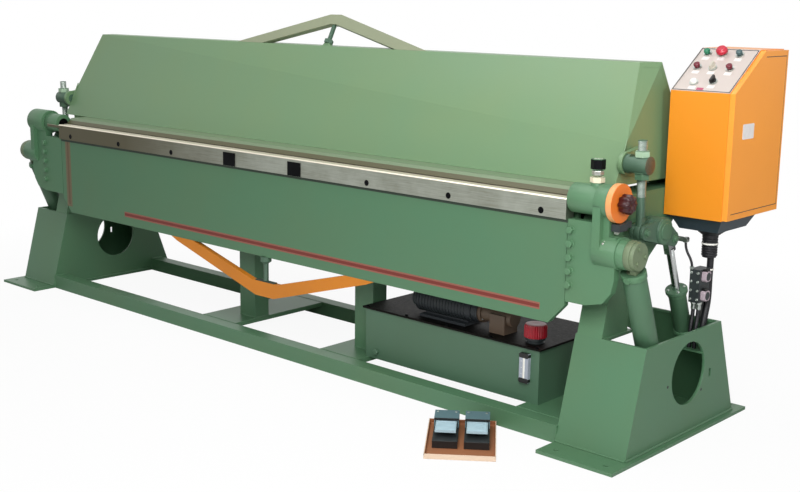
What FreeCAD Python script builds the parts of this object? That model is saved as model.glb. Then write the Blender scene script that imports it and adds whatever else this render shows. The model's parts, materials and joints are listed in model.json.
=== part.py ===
import FreeCAD, Part
import math
import os
import re

import Sketcher

# Hydraulic sheet metal brake, in millimetres.
# X runs along the bed, Y from the operator to the back, Z up from the floor.
# While it is drawn, Y starts at the front face of the bending apron. Each finished
# sub-part is then moved so that Y starts at the middle of the front floor rail.

Vector = FreeCAD.Vector
ACROSS = Vector(1, 0, 0)
BACK = Vector(0, 1, 0)
UP = Vector(0, 0, 1)

doc = FreeCAD.newDocument("SheetMetalBrake")
sheet = doc.addObject("Spreadsheet::Sheet", "Sizes")
size_names = []
nodes = []


# Sizes

def sizes(title, **values):
    """Add a titled group of driving sizes, each with its own name as alias."""
    row = len(size_names) + 2
    sheet.set("C%d" % row, title)
    for name, value in values.items():
        size_names.append(name)
        row = len(size_names) + 1
        sheet.set("A%d" % row, name)
        sheet.set("B%d" % row, str(value))
        sheet.setAlias("B%d" % row, name)


sizes("Bed", bed_long=3166, bed_high=855, bed_back=280, bed_front=70, bed_deep=315, bed_wall=16,
      jaw_front=47, jaw_thick=20)
sizes("Legs", leg_inner=1577, leg_wide=279, leg_high=377, leg_wall=10, leg_front=95, leg_lean_front=101,
      leg_rear=600, leg_lean_rear=136, leg_hole_back=385, leg_hole_up=230, leg_hole=112.5,
      foot_thick=12, foot_step_out=22, foot_front=114, foot_rear=798, leg_slot_back=533, leg_slot_up=184,
      leg_slot_wide=14, leg_slot_high=30,
      anchor_radius=9, anchor_edge_front=45, anchor_edge_rear=25, anchor_edge_side=52)
sizes("Floor frame", rail_front=5, rail_side=65, rail_wall=5, rear_rail_front=610, member_deep=20,
      member_wall=6, member_1=-323, member_2=450, member_wide=224, post_wide=104,
      post_deep=80, post_front=195, post_wall=6, post_1=-268, post_2=469)
sizes("End housings", side_inner=1583, side_thick=99, column_deep=160, side_knee_front=75,
      side_knee_up=600, hinge_back=45, hinge_pin=25,
      hinge_room=65, arm_low=775, arm_rear=680, arm_crown=26, rear_knee_up=620,
      lug_radius=50, lug_thick=104, lug_radius_left=44, lug_thick_left=112, lug_gap_left=26)
sizes("Apron", gear_shift=57, jaw_long=3048, bar_high=71, bar_thick=45, bar_bevel=4, plate_front=12,
      plate_thick=25, plate_low=418, corner_wide=65, corner_high=70, rib_deep=25, rib_thick=15,
      rib_1=440, rib_2=610, station_pitch=406.4, stations=8, screw_up=803, screw_radius=7,
      block_wide=75, block_high=56, block_thick=3, lip_long=100, lip_high=12, lip_thick=3)
sizes("Apron ends", casting_thick=30, casting_gap=2, casting_outer=1769, casting_low=505,
      casting_flat=77, casting_slope=82, casting_top=786, boss_radius=57, boss_outer=1742,
      crank_reach=163, crank_inner=1690, crank_thick=30,
      crank_radius=55, crank_outer=1778, spacer_radius=50, spacer_outer=1806, bolt_count=7,
      bolt_low=558, bolt_high=746, bolt_across=13, bolt_radius=11, bolt_thick=8,
      backing_reach=58, backing_thick=18)
sizes("Apron truss", truss_half=638, truss_knee=600, truss_knee_up=402, truss_flat=57, truss_low=245,
      truss_inner_half=482, truss_inner_flat=80, truss_inner_up=309, truss_screw=10, truss_nut=19)
sizes("Angle dial", dial_radius=64, dial_thick=22, knob_radius=33, knob_long=41, seat_gap=0.3,
      switch_drop=45)
sizes("Leaf", pivot_back=620, pivot_up=840, pivot_pin=15, leaf_skin=18, leaf_half_top=1607,
      leaf_half_low=1659, face_foot_back=165, face_foot_up=883, face_top_back=368, face_top_up=1288,
      leaf_half_rear=1640, facet_low_up=1022, roof_back=457, rear_foot_back=692, rear_foot_up=880, nose_tip=48,
      nose_up=857, nose_bevel=26, end_plate_thick=15, inner_rib=520, arm_out=1560, arm_thick=40, arm_radius=38)
sizes("Leaf truss", brace_half=583, brace_flat=33, brace_high=148, brace_inner_half=328,
      brace_inner_flat=18, brace_inner_high=98, brace_thick=25)
sizes("Clamp gear", shaft_back=324, shaft_up=727, shaft_radius=30, hub_radius=47, gear_mid=1735,
      hub_half=33, cheek_inner=13, cheek_thick=14, eye_half=11, eye_radius=26, eye_hole=14,
      pin_radius=10, rocker_front=110, rocker_rise=8, rocker_rear=77, rocker_drop=37,
      trunnion_back=205, trunnion_up=962, trunnion_radius=32.5, trunnion_outer=1765,
      trunnion_inner=1680, shank_radius=20, lug_face=1660, lug_plate=18, screw_radius_big=15,
      screw_top=1045, nut_radius=26, nut_thick=22, foot_back=565, foot_up=290, barrel_radius=31.5,
      barrel_bore=25, barrel_top=221, rod_radius=14, fit_gap=0.05)
sizes("Bend cylinders", apron_open=135, cylinder_mid=1805, cylinder_radius=40, cylinder_bore=30,
      cylinder_short=500, cylinder_head=62, cylinder_rod=22.5, cap_thick=13, cap_edge=1830,
      neck_start=60, stem_bevel=4, foot_eye=26, foot_eye_half=12,
      gland_long=25)
sizes("Tank", tank_left=545, tank_right=1405, tank_front=130, tank_back=520, tank_top=276,
      tank_wall=4, lid_thick=8, lid_edge=10, motor_left=750, motor_long=330, motor_radius=48,
      motor_back=215, pump_long=150, pump_radius=34,
      cap_at=1340, cap_back=192, cap_radius=42, neck_radius=30, neck_high=20, cap_high=50,
      gauge_left=1328, gauge_right=1368, gauge_low=141, gauge_high=250, gauge_thick=16)
sizes("Control box", box_in=1684, box_out=1905, box_front=451, box_back=831, box_low=762,
      box_high=1335, box_front_high=1196, box_ledge=653, box_wall=4, box_rim=18, door_thick=20,
      door_edge=3, door_skin=2, door_gap=0.3, knuckle_radius=5, knuckle_long=30, knuckle_in=10,
      knuckle_out=2, knuckle_edge=150, bracket_thick=12, pan_edge=10, pan_front=24, pan_rear=91,
      pan_high=52, pan_taper=26, pan_wall=4)
sizes("Controls", button_radius=11, button_high=14, bezel_radius=15, bezel_high=5, stop_radius=20,
      stop_high=24, stem_radius=8, button_gap=4.5, selector_radius=12, row_top=210, row_mid=130,
      row_low=55, column_1=1722, column_2=1780, column_3=1844, selector_low_at=1817,
      stem_deep=10)
sizes("Valves", valve_in=1772, valve_out=1812, valve_front=505, valve_back=575, valve_low=450,
      valve_high=570, solenoid_radius=15, solenoid_long=18, hose_radius=7, supply_radius=4.5,
      fitting_out=1759, fitting_back=502, fitting_up=672, conduit_radius=12, boot_at=1802,
      boot_back=580, boot_radius=60, boot_end=27, boot_high=60, line_shelf_in=1774,
      line_shelf_front=478, line_shelf_back=578, line_shelf_up=285)
sizes("Pedals", tray_mid=1331, tray_back=-208, tray_turn=37.9, tray_wide=239, tray_deep=344,
      tray_thick=4, tray_rim=18, pedal_wide=86, pedal_deep=230, pedal_high=26, pedal_step=54,
      pedal_shift=35, treadle_deep=114, treadle_thick=8, treadle_gap=16, treadle_wide=72, cheek_plate=4,
      hood_deep=98, hood_high=34, hood_slope=14)
sizes("Adjusting bolt", adjust_at=1668, adjust_radius=12, adjust_boss=21, adjust_boss_top=912,
      adjust_nut=24, adjust_nut_high=20, adjust_lock=19.5, adjust_lock_up=937, adjust_lock_high=16,
      adjust_head_up=956, adjust_top=991)
doc.recompute()


def bound(words):
    """Turn size names in a formula into references to the sheet."""
    pattern = r"\b(" + "|".join(sorted(size_names, key=len, reverse=True)) + r")\b"
    return re.sub(pattern, r"Sizes.\1", str(words))


def number(words):
    """The value of a formula in millimetres, or in degrees for an angle."""
    value = sheet.evalExpression(bound(words))
    return float(getattr(value, "Value", value))


def bind(thing, prop, words):
    """Tie one property of an object to a formula of sizes."""
    thing.setExpression(prop, bound(words))


def seat(thing, place, turn=None):
    """Tie the place of an object, and the angle that it is turned by about an axis."""
    if turn is not None:
        axis, angle = turn
        thing.Placement = FreeCAD.Placement(Vector(0, 0, 0), FreeCAD.Rotation(axis, number(angle)))
        bind(thing, "Placement.Rotation.Angle", angle)
    for letter, words in zip("xyz", place):
        bind(thing, "Placement.Base." + letter, words)


# Shapes that the pieces are made from

TO_X = (BACK, "90")
TO_MINUS_Y = (ACROSS, "90")


def box(name, x, y, z):
    """A block between two formulas along each axis."""
    block = doc.addObject("Part::Box", name)
    for prop, (low, high) in zip(("Length", "Width", "Height"), (x, y, z)):
        bind(block, prop, "(%s) - (%s)" % (high, low))
    seat(block, (x[0], y[0], z[0]))
    return block


def rod(name, radius, start, length, turn=None):
    """A round bar that stands on its start point, or leans by the turn."""
    bar = doc.addObject("Part::Cylinder", name)
    bind(bar, "Radius", radius)
    bind(bar, "Height", length)
    seat(bar, start, turn)
    return bar


def across(name, radius, x, centre):
    """A round bar along X between two formulas, about a centre (y, z)."""
    return rod(name, radius, (x[0], centre[0], centre[1]), "(%s) - (%s)" % (x[1], x[0]), TO_X)


def hexagon(name, radius, start, length, turn=None):
    """A hexagon nut or bolt head."""
    head = doc.addObject("Part::Prism", name)
    head.Polygon = 6
    bind(head, "Circumradius", radius)
    bind(head, "Height", length)
    seat(head, start, turn)
    return head


def drawn(body, plane, outline, holes=()):
    """A sketch on one of the body's own planes: a closed outline and round holes."""
    sketch = body.newObject("Sketcher::SketchObject", body.Name + "_sketch")
    base = [item for item in body.Origin.OriginFeatures if item.Role == plane][0]
    sketch.AttachmentSupport = [(base, "")]
    sketch.MapMode = "FlatFace"
    points = [Vector(number(first), number(second), 0) for first, second in outline]
    count = len(points)
    for index in range(count):
        line = Part.LineSegment(points[index], points[(index + 1) % count])
        sketch.addGeometry(line, False)
    for index in range(count):
        sketch.addConstraint(Sketcher.Constraint("Coincident", index, 2, (index + 1) % count, 1))
    for index, pair in enumerate(outline):
        place_point(sketch, index, 1, pair)
    for first, second, radius in holes:
        centre = Vector(number(first), number(second), 0)
        ring = sketch.addGeometry(Part.Circle(centre, UP, number(radius)), False)
        place_point(sketch, ring, 3, (first, second))
        datum = sketch.addConstraint(Sketcher.Constraint("Radius", ring, number(radius)))
        bind(sketch, "Constraints[%d]" % datum, radius)
    return sketch


def place_point(sketch, index, end, pair):
    """Tie one point of a sketch to its two formulas."""
    for kind, words in zip(("DistanceX", "DistanceY"), pair):
        datum = sketch.addConstraint(Sketcher.Constraint(kind, -1, 1, index, end, number(words)))
        bind(sketch, "Constraints[%d]" % datum, words)


def prism(name, plane, outline, span, holes=()):
    """An outline given in the YZ, XZ or XY plane, made solid between two formulas."""
    body = doc.addObject("PartDesign::Body", name)
    sketch = drawn(body, plane + "_Plane", outline, holes)
    pad = body.newObject("PartDesign::Pad", body.Name + "_pad")
    pad.Profile = sketch
    bind(pad, "Length", "(%s) - (%s)" % (span[1], span[0]))
    axis = {"YZ": "x", "XZ": "y", "XY": "z"}[plane]
    if plane == "XZ":
        bind(body, "Placement.Base." + axis, span[1])
    else:
        bind(body, "Placement.Base." + axis, span[0])
    return body


def turned(name, outline, place, turn=None):
    """A round piece: an outline of radius and height, revolved about its upright axis."""
    body = doc.addObject("PartDesign::Body", name)
    sketch = drawn(body, "XZ_Plane", outline)
    revolution = body.newObject("PartDesign::Revolution", body.Name + "_turned")
    revolution.Profile = sketch
    revolution.ReferenceAxis = (sketch, ["V_Axis"])
    revolution.Angle = 360
    seat(body, place, turn)
    return body


def cut(name, whole, *tools):
    """One piece with others taken out of it."""
    piece = doc.addObject("Part::Cut", name)
    piece.Base = whole
    piece.Tool = tools[0] if len(tools) == 1 else fused(name + "_tools", *tools)
    return piece


def fused(name, *pieces):
    """Several pieces welded or cast into one."""
    whole = doc.addObject("Part::MultiFuse", name)
    whole.Shapes = list(pieces)
    whole.Refine = True
    return whole


def shared(name, *pieces):
    """What several shapes have in common."""
    whole = doc.addObject("Part::MultiCommon", name)
    whole.Shapes = list(pieces)
    return whole


def group(name, pieces, place=None, turn=None):
    """Pieces held together, and moved as one if a place is given."""
    holder = doc.addObject("Part::Compound", name)
    holder.Links = list(pieces)
    if place is not None:
        seat(holder, place, turn)
    return holder


def node(label, *pieces):
    """One finished sub-part, moved so that Y starts at the middle of the front rail."""
    holder = group(label, pieces)
    holder.Label = label
    bind(holder, "Placement.Base.y", "-(rail_front + rail_side / 2)")
    nodes.append(holder)


def span(side, near, far):
    """The low and high X of a piece that lies between two distances from the middle."""
    if side > 0:
        return (str(near), str(far))
    return ("-(%s)" % far, "-(%s)" % near)


def tube(name, x, y, z, wall, along):
    """A square tube, open at both ends along one axis."""
    outer = box(name + "_outer", x, y, z)
    sides = []
    for letter, (low, high) in zip("XYZ", (x, y, z)):
        if letter == along:
            sides.append(("(%s) - 1" % low, "(%s) + 1" % high))
        else:
            sides.append(("(%s) + %s" % (low, wall), "(%s) - %s" % (high, wall)))
    return cut(name, outer, box(name + "_inner", *sides))


SIDES = ((-1, "left"), (1, "right"))


# Legs

def leg_front_at(height, inset="0"):
    return "leg_front - leg_lean_front * (1 - (%s) / leg_high) + (%s)" % (height, inset)


def leg_rear_at(height, inset="0"):
    return "leg_rear + leg_lean_rear * (1 - (%s) / leg_high) - (%s)" % (height, inset)


def leg(side, name):
    """A welded box with a plate under it, open on top behind its column."""
    outer = span(side, "leg_inner", "leg_inner + leg_wide")
    inner = span(side, "leg_inner + leg_wall", "leg_inner + leg_wide - leg_wall")
    roof = "leg_high - leg_wall"

    def profile(low, high, inset):
        return [(leg_front_at(low, inset), low), (leg_rear_at(low, inset), low),
                (leg_rear_at(high, inset), high), (leg_front_at(high, inset), high)]

    shell = prism("leg_shell_" + name, "YZ", profile("foot_thick", "leg_high", "0"), outer)
    hollow = prism("leg_hollow_" + name, "YZ", profile("foot_thick", roof, "leg_wall"), inner)
    mouth = box("leg_mouth_" + name,
                span(side, "side_inner + side_thick + leg_wall", "leg_inner + leg_wide - leg_wall"),
                ("leg_front + leg_wall", "leg_rear - leg_wall"), (roof + " - 1", "leg_high + 1"))
    rear_mouth = box("leg_rear_mouth_" + name, inner,
                     ("leg_front + column_deep + 2 * leg_wall", "leg_rear - leg_wall"),
                     (roof + " - 1", "leg_high + 1"))
    window = across("leg_window_" + name, "leg_hole", span(side, "leg_inner - 1", "leg_inner + leg_wide + 1"),
                    ("leg_hole_back", "leg_hole_up"))
    slot = box("leg_slot_" + name, span(side, "leg_inner + leg_wide - leg_wall - 1", "leg_inner + leg_wide + 1"),
               ("leg_slot_back", "leg_slot_back + leg_slot_wide"), ("leg_slot_up", "leg_slot_up + leg_slot_high"))
    box_part = cut("leg_box_" + name, shell, hollow, mouth, rear_mouth, window, slot)
    foot_x = ("leg_inner", "leg_inner + leg_wide + foot_step_out")
    plate = box("leg_foot_" + name, span(side, *foot_x), ("-foot_front", "foot_rear"), ("0", "foot_thick"))
    anchors = []
    for reach in (foot_x[0] + " + anchor_edge_side", foot_x[1] + " - anchor_edge_side"):
        for depth in ("-foot_front + anchor_edge_front", "foot_rear - anchor_edge_rear"):
            place = ("%d * (%s)" % (side, reach), depth, "-1")
            anchors.append(rod("leg_anchor_%s" % name, "anchor_radius", place, "foot_thick + 2"))
    bend_ears = foot_ears("bend_ears_" + name, side, "cylinder_mid", "foot_eye_half", BEND_FOOT, "foot_thick")
    rear_ears = []
    for start in ("gear_mid - cheek_inner - cheek_thick", "gear_mid + cheek_inner"):
        rear_ears.append(box("clamp_ear_" + name, span(side, start, start + " + cheek_thick"),
                             ("foot_back - pin_radius * 2", leg_rear_at("foot_up", "leg_wall / 2")),
                             ("foot_up - pin_radius * 2", "foot_up + pin_radius * 2")))
    clamp_pin = across("clamp_foot_pin_" + name, "pin_radius",
                       span(side, "gear_mid - cheek_inner - cheek_thick", "gear_mid + cheek_inner + cheek_thick"),
                       ("foot_back", "foot_up"))
    fixed = bend_ears + rear_ears + [clamp_pin]
    if side > 0:
        fixed.append(box("leg_line_shelf", ("line_shelf_in", "leg_inner + leg_wide - leg_wall / 2"),
                         ("line_shelf_front", "line_shelf_back"), ("line_shelf_up - leg_wall / 2", "line_shelf_up")))
    whole = fused("leg_whole_" + name, box_part, cut("leg_plate_" + name, plate, *anchors), *fixed)
    node("leg_" + name, whole)


def foot_ears(name, side, middle, half, centre, floor):
    """Two upright ears on the foot plate and the pin between them."""
    ears = []
    inner = "%s + 2" % half
    outer = "%s + 2 + cheek_thick" % half
    for near, far in (("%s - (%s)" % (middle, outer), "%s - (%s)" % (middle, inner)),
                      ("%s + %s" % (middle, inner), "%s + %s" % (middle, outer))):
        ears.append(box(name, span(side, near, far), (centre[0] + " - foot_eye", centre[0] + " + foot_eye"),
                        (floor, centre[1])))
        ears.append(across(name + "_top", "foot_eye", span(side, near, far), centre))
    ears.append(across(name + "_pin", "pin_radius",
                       span(side, "%s - (%s)" % (middle, outer), "%s + %s" % (middle, outer)), centre))
    return ears


CRANK = ("hinge_back", "bed_high - crank_reach")
HINGE = ("hinge_back", "bed_high")
LEAN = "(90 - apron_open / 2)"
BEND_FOOT = ("hinge_back + cylinder_short * sin(%s)" % LEAN,
             "bed_high - crank_reach - cylinder_short * cos(%s)" % LEAN)

for side, name in SIDES:
    leg(side, name)


# Floor frame and posts

inner_x = ("-leg_inner", "leg_inner")
node("front_rail", tube("front_rail_tube", inner_x, ("rail_front", "rail_front + rail_side"),
                        ("0", "rail_side"), "rail_wall", "X"))
node("rear_rail", tube("rear_rail_tube", inner_x, ("rear_rail_front", "rear_rail_front + rail_side"),
                       ("0", "rail_side"), "rail_wall", "X"))


def cross_member(name, middle):
    """A shallow channel laid flat between the two rails, its edges turned down."""
    low = "%s - member_wide / 2" % middle
    high = "%s + member_wide / 2" % middle
    foot = "rail_side - member_deep"
    under = "rail_side - member_wall"
    outline = [(low, foot), (low + " + member_wall", foot), (low + " + member_wall", under),
               (high + " - member_wall", under), (high + " - member_wall", foot), (high, foot),
               (high, "rail_side"), (low, "rail_side")]
    return prism(name, "XZ", outline, ("rail_front + rail_side", "rear_rail_front"))


def post(name, middle):
    """A square tube that carries the bed beam between the legs."""
    return tube(name, ("%s - post_wide / 2" % middle, "%s + post_wide / 2" % middle),
                ("post_front", "post_front + post_deep"), ("rail_side", "bed_high - jaw_thick - bed_deep"),
                "post_wall", "Z")


node("cross_members", cross_member("member_a", "member_1"), cross_member("member_b", "member_2"),
     cross_member("member_c", "leg_inner - member_wide / 2"))
node("posts", post("post_a", "post_1"), post("post_b", "post_2"))


# Bed

bed_x = ("-bed_long / 2", "bed_long / 2")
bed_top = "bed_high - jaw_thick"
lug_left = ("gear_shift - jaw_long / 2 - lug_gap_left - lug_thick_left", "gear_shift - jaw_long / 2 - lug_gap_left")
beam = tube("bed_tube", bed_x, ("bed_front", "bed_back"), (bed_top + " - bed_deep", bed_top), "bed_wall", "X")
lug_arm = box("bed_lug_arm", lug_left, ("hinge_back", "bed_front + bed_wall"),
              ("bed_high - lug_radius_left", "bed_high - jaw_thick"))
lug_disc = across("bed_lug_disc", "lug_radius_left", lug_left, HINGE)
lug_bore = across("bed_lug_bore", "hinge_pin + fit_gap", (lug_left[0] + " - 1", lug_left[1] + " + 1"), HINGE)
node("bed_beam", cut("bed_beam_whole", fused("bed_beam_lug", beam, lug_arm, lug_disc), lug_bore))
jaw_outline = [("jaw_front", "bed_high"), ("jaw_front", "bed_high - jaw_thick / 3"),
               ("jaw_front + jaw_thick", bed_top), ("bed_back", bed_top), ("bed_back", "bed_high")]
jaw_bar = prism("bed_bar_plate", "YZ", jaw_outline, bed_x)
jaw_relief = box("bed_bar_relief", (bed_x[0] + " - 1", lug_left[1] + " + 2"),
                 ("jaw_front - 1", "hinge_back + lug_radius + 2"), (bed_top + " - 1", "bed_high + 1"))
node("bed_bar", cut("bed_bar_cut", jaw_bar, jaw_relief))


# End housings

LUG_END = "side_inner + casting_gap + lug_thick"


def end_housing(side, name):
    """The cast side of the machine, from the leg's column up to both hinge lines."""
    reach = span(side, "side_inner", "side_inner + side_thick")
    knee = "leg_high + 40"
    throat = "hinge_back + hinge_room"
    outline = [("leg_front", "leg_high"), ("leg_front + column_deep", "leg_high"),
               ("leg_front + column_deep", knee),
               ("shaft_back + hub_radius", "rear_knee_up"),
               ("pivot_back - arm_radius", "arm_low"), ("arm_rear", "arm_low"),
               ("arm_rear", "pivot_up + arm_crown"), ("pivot_back - arm_radius", "pivot_up + arm_crown"),
               ("pivot_back - arm_radius * 1.5", "bed_high"), (throat, "bed_high"), (throat, "bed_high - hinge_room"),
               ("side_knee_front", "bed_high - 2 * hinge_room"), ("side_knee_front", "side_knee_up"),
               ("leg_front + leg_lean_front * 0.35", "side_knee_up - 80")]
    holes = [("shaft_back", "shaft_up", "shaft_radius + fit_gap"), ("pivot_back", "pivot_up", "pivot_pin")]
    plate = prism("side_plate_" + name, "YZ", outline, reach, holes)
    if side < 0:
        node("end_housing_" + name, plate)
        return
    lug_x = span(side, "side_inner + casting_gap", LUG_END)
    arm = box("side_lug_arm_" + name, lug_x, ("hinge_back", throat + " + 5"),
              ("bed_high - lug_radius", "bed_high"))
    disc = across("side_lug_disc_" + name, "lug_radius", lug_x, HINGE)
    adjust_place = ("%d * adjust_at" % side, "hinge_back")
    boss = rod("adjust_boss_" + name, "adjust_boss", adjust_place + ("bed_high",), "adjust_boss_top - bed_high")
    bore = across("side_lug_bore_" + name, "hinge_pin + fit_gap", (lug_x[0] + " - 1", lug_x[1] + " + 1"), HINGE)
    lug = cut("side_lug_" + name, fused("side_lug_whole_" + name, arm, disc, boss), bore)
    pieces = [fused("side_with_lug_" + name, plate, lug)]
    flat = (UP, "30")
    nut = hexagon("adjust_nut_" + name, "adjust_nut", adjust_place + ("adjust_boss_top",), "adjust_nut_high", flat)
    lock = hexagon("adjust_lock_" + name, "adjust_lock", adjust_place + ("adjust_lock_up",), "adjust_lock_high", flat)
    head = hexagon("adjust_head_" + name, "adjust_nut", adjust_place + ("adjust_head_up",),
                   "adjust_top - adjust_head_up", flat)
    stud = rod("adjust_stud_" + name, "adjust_radius", adjust_place + ("adjust_boss_top + 1",),
               "adjust_head_up - adjust_boss_top")
    pieces.append(fused("adjust_bolt_" + name, nut, lock, head, stud))
    node("end_housing_" + name, *pieces)


for side, name in SIDES:
    end_housing(side, name)

right_pin = across("apron_pin_right", "hinge_pin", ("side_inner + casting_gap", "boss_outer"), HINGE)
left_pin = across("apron_pin_left", "hinge_pin", ("-boss_outer", lug_left[1]), HINGE)
leaf_pins = []
for side, name in SIDES:
    leaf_pins.append(across("leaf_pin_" + name, "pivot_pin",
                            span(side, "arm_out - arm_thick", "side_inner + side_thick"),
                            ("pivot_back", "pivot_up")))
node("hinge_pins", right_pin, left_pin, *leaf_pins)


# Bending apron

bar_x = ("gear_shift - jaw_long / 2", "gear_shift + jaw_long / 2")
bar_low = "bed_high - bar_high"
plate_back = "plate_front + plate_thick"


def station(index):
    """X of one bar screw, counted from the left."""
    return "gear_shift + (%d - (stations - 1) / 2) * station_pitch" % index


bar_outline = [("0", bar_low), ("bar_thick", bar_low), ("bar_thick", "bed_high"), ("bar_bevel", "bed_high"),
               ("0", "bed_high - bar_bevel")]
screw_deep = "bar_thick / 3"
screw_holes = []
screws = []
for index in range(int(number("stations"))):
    place = (station(index), screw_deep, "screw_up")
    screw_holes.append(rod("bar_hole", "screw_radius + 1", place, screw_deep + " + 1", TO_MINUS_Y))
    screws.append(rod("bar_screw", "screw_radius", place, screw_deep + " - 2", TO_MINUS_Y))
apron_bar = cut("apron_bar_cut", prism("apron_bar_solid", "YZ", bar_outline, bar_x), *screw_holes)
bar_lip = box("apron_bar_lip", (bar_x[0] + " - lip_long", bar_x[0] + " + lip_high * 2"), ("-lip_thick", "0"),
              ("bed_high - bar_bevel - lip_high", "bed_high - bar_bevel"))
node("apron_bar", fused("apron_bar_whole", apron_bar, bar_lip))
for index in (3, 4):
    middle = station(index)
    screws.append(box("bar_block", (middle + " - block_wide / 2", middle + " + block_wide / 2"),
                      ("-block_thick", "0"), (bar_low + " + 1", bar_low + " + 1 + block_high")))
node("bar_screws", *screws)

plate_outline = [(bar_x[0] + " + corner_wide", "plate_low"), (bar_x[1] + " - corner_wide", "plate_low"),
                 (bar_x[1], "plate_low + corner_high"), (bar_x[1], bar_low), (bar_x[0], bar_low),
                 (bar_x[0], "plate_low + corner_high")]
skin = prism("apron_skin", "XZ", plate_outline, ("plate_front", plate_back))
ribs = []
for rib in ("rib_1", "rib_2"):
    ribs.append(box("apron_rib", (bar_x[0] + " + corner_wide", bar_x[1] + " - corner_wide"),
                    (plate_back, plate_back + " + rib_deep"), (rib, rib + " + rib_thick")))
seat_y = ("plate_front + casting_thick", "plate_front + casting_thick + backing_thick")
for side, edge in ((-1, bar_x[0]), (1, bar_x[1])):
    reach = "backing_reach + %s" % ("bolt_across" if side > 0 else "casting_flat")
    low, high = ("(%s) - (%s)" % (edge, reach), "(%s) + corner_wide" % edge)
    if side > 0:
        low, high = ("(%s) - corner_wide" % edge, "(%s) + %s" % (edge, reach))
    ribs.append(box("apron_backing", (low, high), seat_y, ("bolt_low - 30", "bolt_high + 25")))
    fill = (edge, high) if side < 0 else (low, edge)
    ribs.append(box("apron_backing_fill", fill, (plate_back, seat_y[1]), ("bolt_low - 30", "bolt_high + 25")))
node("apron_plate", fused("apron_plate_whole", skin, *ribs))


def apron_casting(side, name):
    """The cast apron end: front plate, hinge boss, crank arm and crank boss."""
    inner = "side_inner" if side > 0 else "-(%s) + casting_gap * 1.5" % bar_x[0]
    boss_edge = LUG_END + " + casting_gap" if side > 0 else "-(%s) + casting_gap" % lug_left[0]
    boss_x = span(side, boss_edge, "boss_outer")
    outer = "casting_outer" if side > 0 else "boss_outer"
    shoulder = "bed_high - dial_radius - switch_drop"
    outline = [(inner, "casting_low"), (outer + " - casting_slope * 4 / 3", "casting_low"),
               (outer + " - casting_slope / 2", "casting_low + casting_slope / 5"),
               (outer + " - casting_slope / 8", "casting_low + casting_slope * 2 / 3"),
               (outer, "casting_low + casting_slope * 1.2")]
    if side > 0:
        outline += [(outer, shoulder), ("boss_outer", shoulder)]
    outline += [("boss_outer", "bed_high"), (boss_edge, "bed_high"), (boss_edge, "casting_top"),
                (inner, "casting_top")]
    outline = [("%d * (%s)" % (side, first), second) for first, second in outline]
    front_y = ("plate_front", "plate_front + casting_thick")
    face = prism("casting_face_" + name, "XZ", outline, front_y)
    boss = across("casting_boss_" + name, "boss_radius", boss_x, HINGE)
    arm_x = span(side, "crank_inner", "crank_inner + crank_thick")
    arm = prism("casting_arm_" + name, "YZ",
                [("hinge_back - crank_radius * 0.97", CRANK[1]), ("hinge_back + crank_radius * 0.97", CRANK[1]),
                 ("hinge_back + boss_radius * 0.97", "bed_high"),
                 ("hinge_back - boss_radius * 0.97", "bed_high")], arm_x)
    arm_end = across("casting_arm_end_" + name, "crank_radius", span(side, "crank_inner", "crank_outer"), CRANK)
    spacer = across("casting_spacer_" + name, "spacer_radius", span(side, "crank_outer", "spacer_outer"), CRANK)
    bore = across("casting_bore_" + name, "hinge_pin + fit_gap", span(side, boss_edge + " - 1", "boss_outer + 1"),
                  HINGE)
    whole = fused("casting_whole_" + name, face, boss, arm, arm_end, spacer)
    node("apron_casting_" + name, cut("casting_" + name, whole, bore))


for side, name in SIDES:
    apron_casting(side, name)

heads = []
for side, edge in ((-1, bar_x[0]), (1, bar_x[1])):
    for index in range(int(number("bolt_count"))):
        if side > 0:
            place_x = "side_inner + bolt_across"
        else:
            place_x = "(%s) - casting_flat * 2" % edge
        height = "bolt_low + %d * (bolt_high - bolt_low) / (bolt_count - 1)" % index
        heads.append(hexagon("casting_bolt", "bolt_radius", (place_x, "plate_front", height), "bolt_thick",
                             TO_MINUS_Y))
node("casting_bolts", *heads)


truss_half = [("truss_flat", "truss_low"), ("truss_knee", "truss_knee_up"), ("truss_half", "plate_low"),
              ("truss_inner_half", "plate_low"), ("truss_inner_flat", "truss_inner_up")]
truss_outline = [("gear_shift + (%s)" % a, b) for a, b in truss_half]
truss_outline += [("gear_shift - (%s)" % a, b) for a, b in reversed(truss_half)]
truss = prism("apron_truss_bar", "XZ", truss_outline, ("plate_front", plate_back))
screw_back = "plate_front + plate_thick / 2"
truss_pieces = [truss,
                rod("truss_screw_rod", "truss_screw", ("gear_shift", screw_back, "truss_inner_up"),
                    "plate_low - truss_inner_up - truss_nut"),
                hexagon("truss_screw_nut", "truss_nut", ("gear_shift", screw_back, "plate_low - truss_nut"),
                        "truss_nut")]
node("apron_truss", *truss_pieces)


# Angle dial on the apron's hinge line

dial_start = "boss_outer + seat_gap"
node("angle_cam", across("angle_cam_disc", "dial_radius", (dial_start, dial_start + " + dial_thick"), HINGE))
knob_outline = [("0", "0"), ("knob_radius * 0.8", "0"), ("knob_radius", "knob_long * 0.2"),
                ("knob_radius", "knob_long * 0.85"), ("knob_radius * 0.85", "knob_long"), ("0", "knob_long")]
node("angle_knob", turned("angle_knob_body", knob_outline, (dial_start + " + dial_thick",) + HINGE, TO_X))


# Clamping leaf

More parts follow.
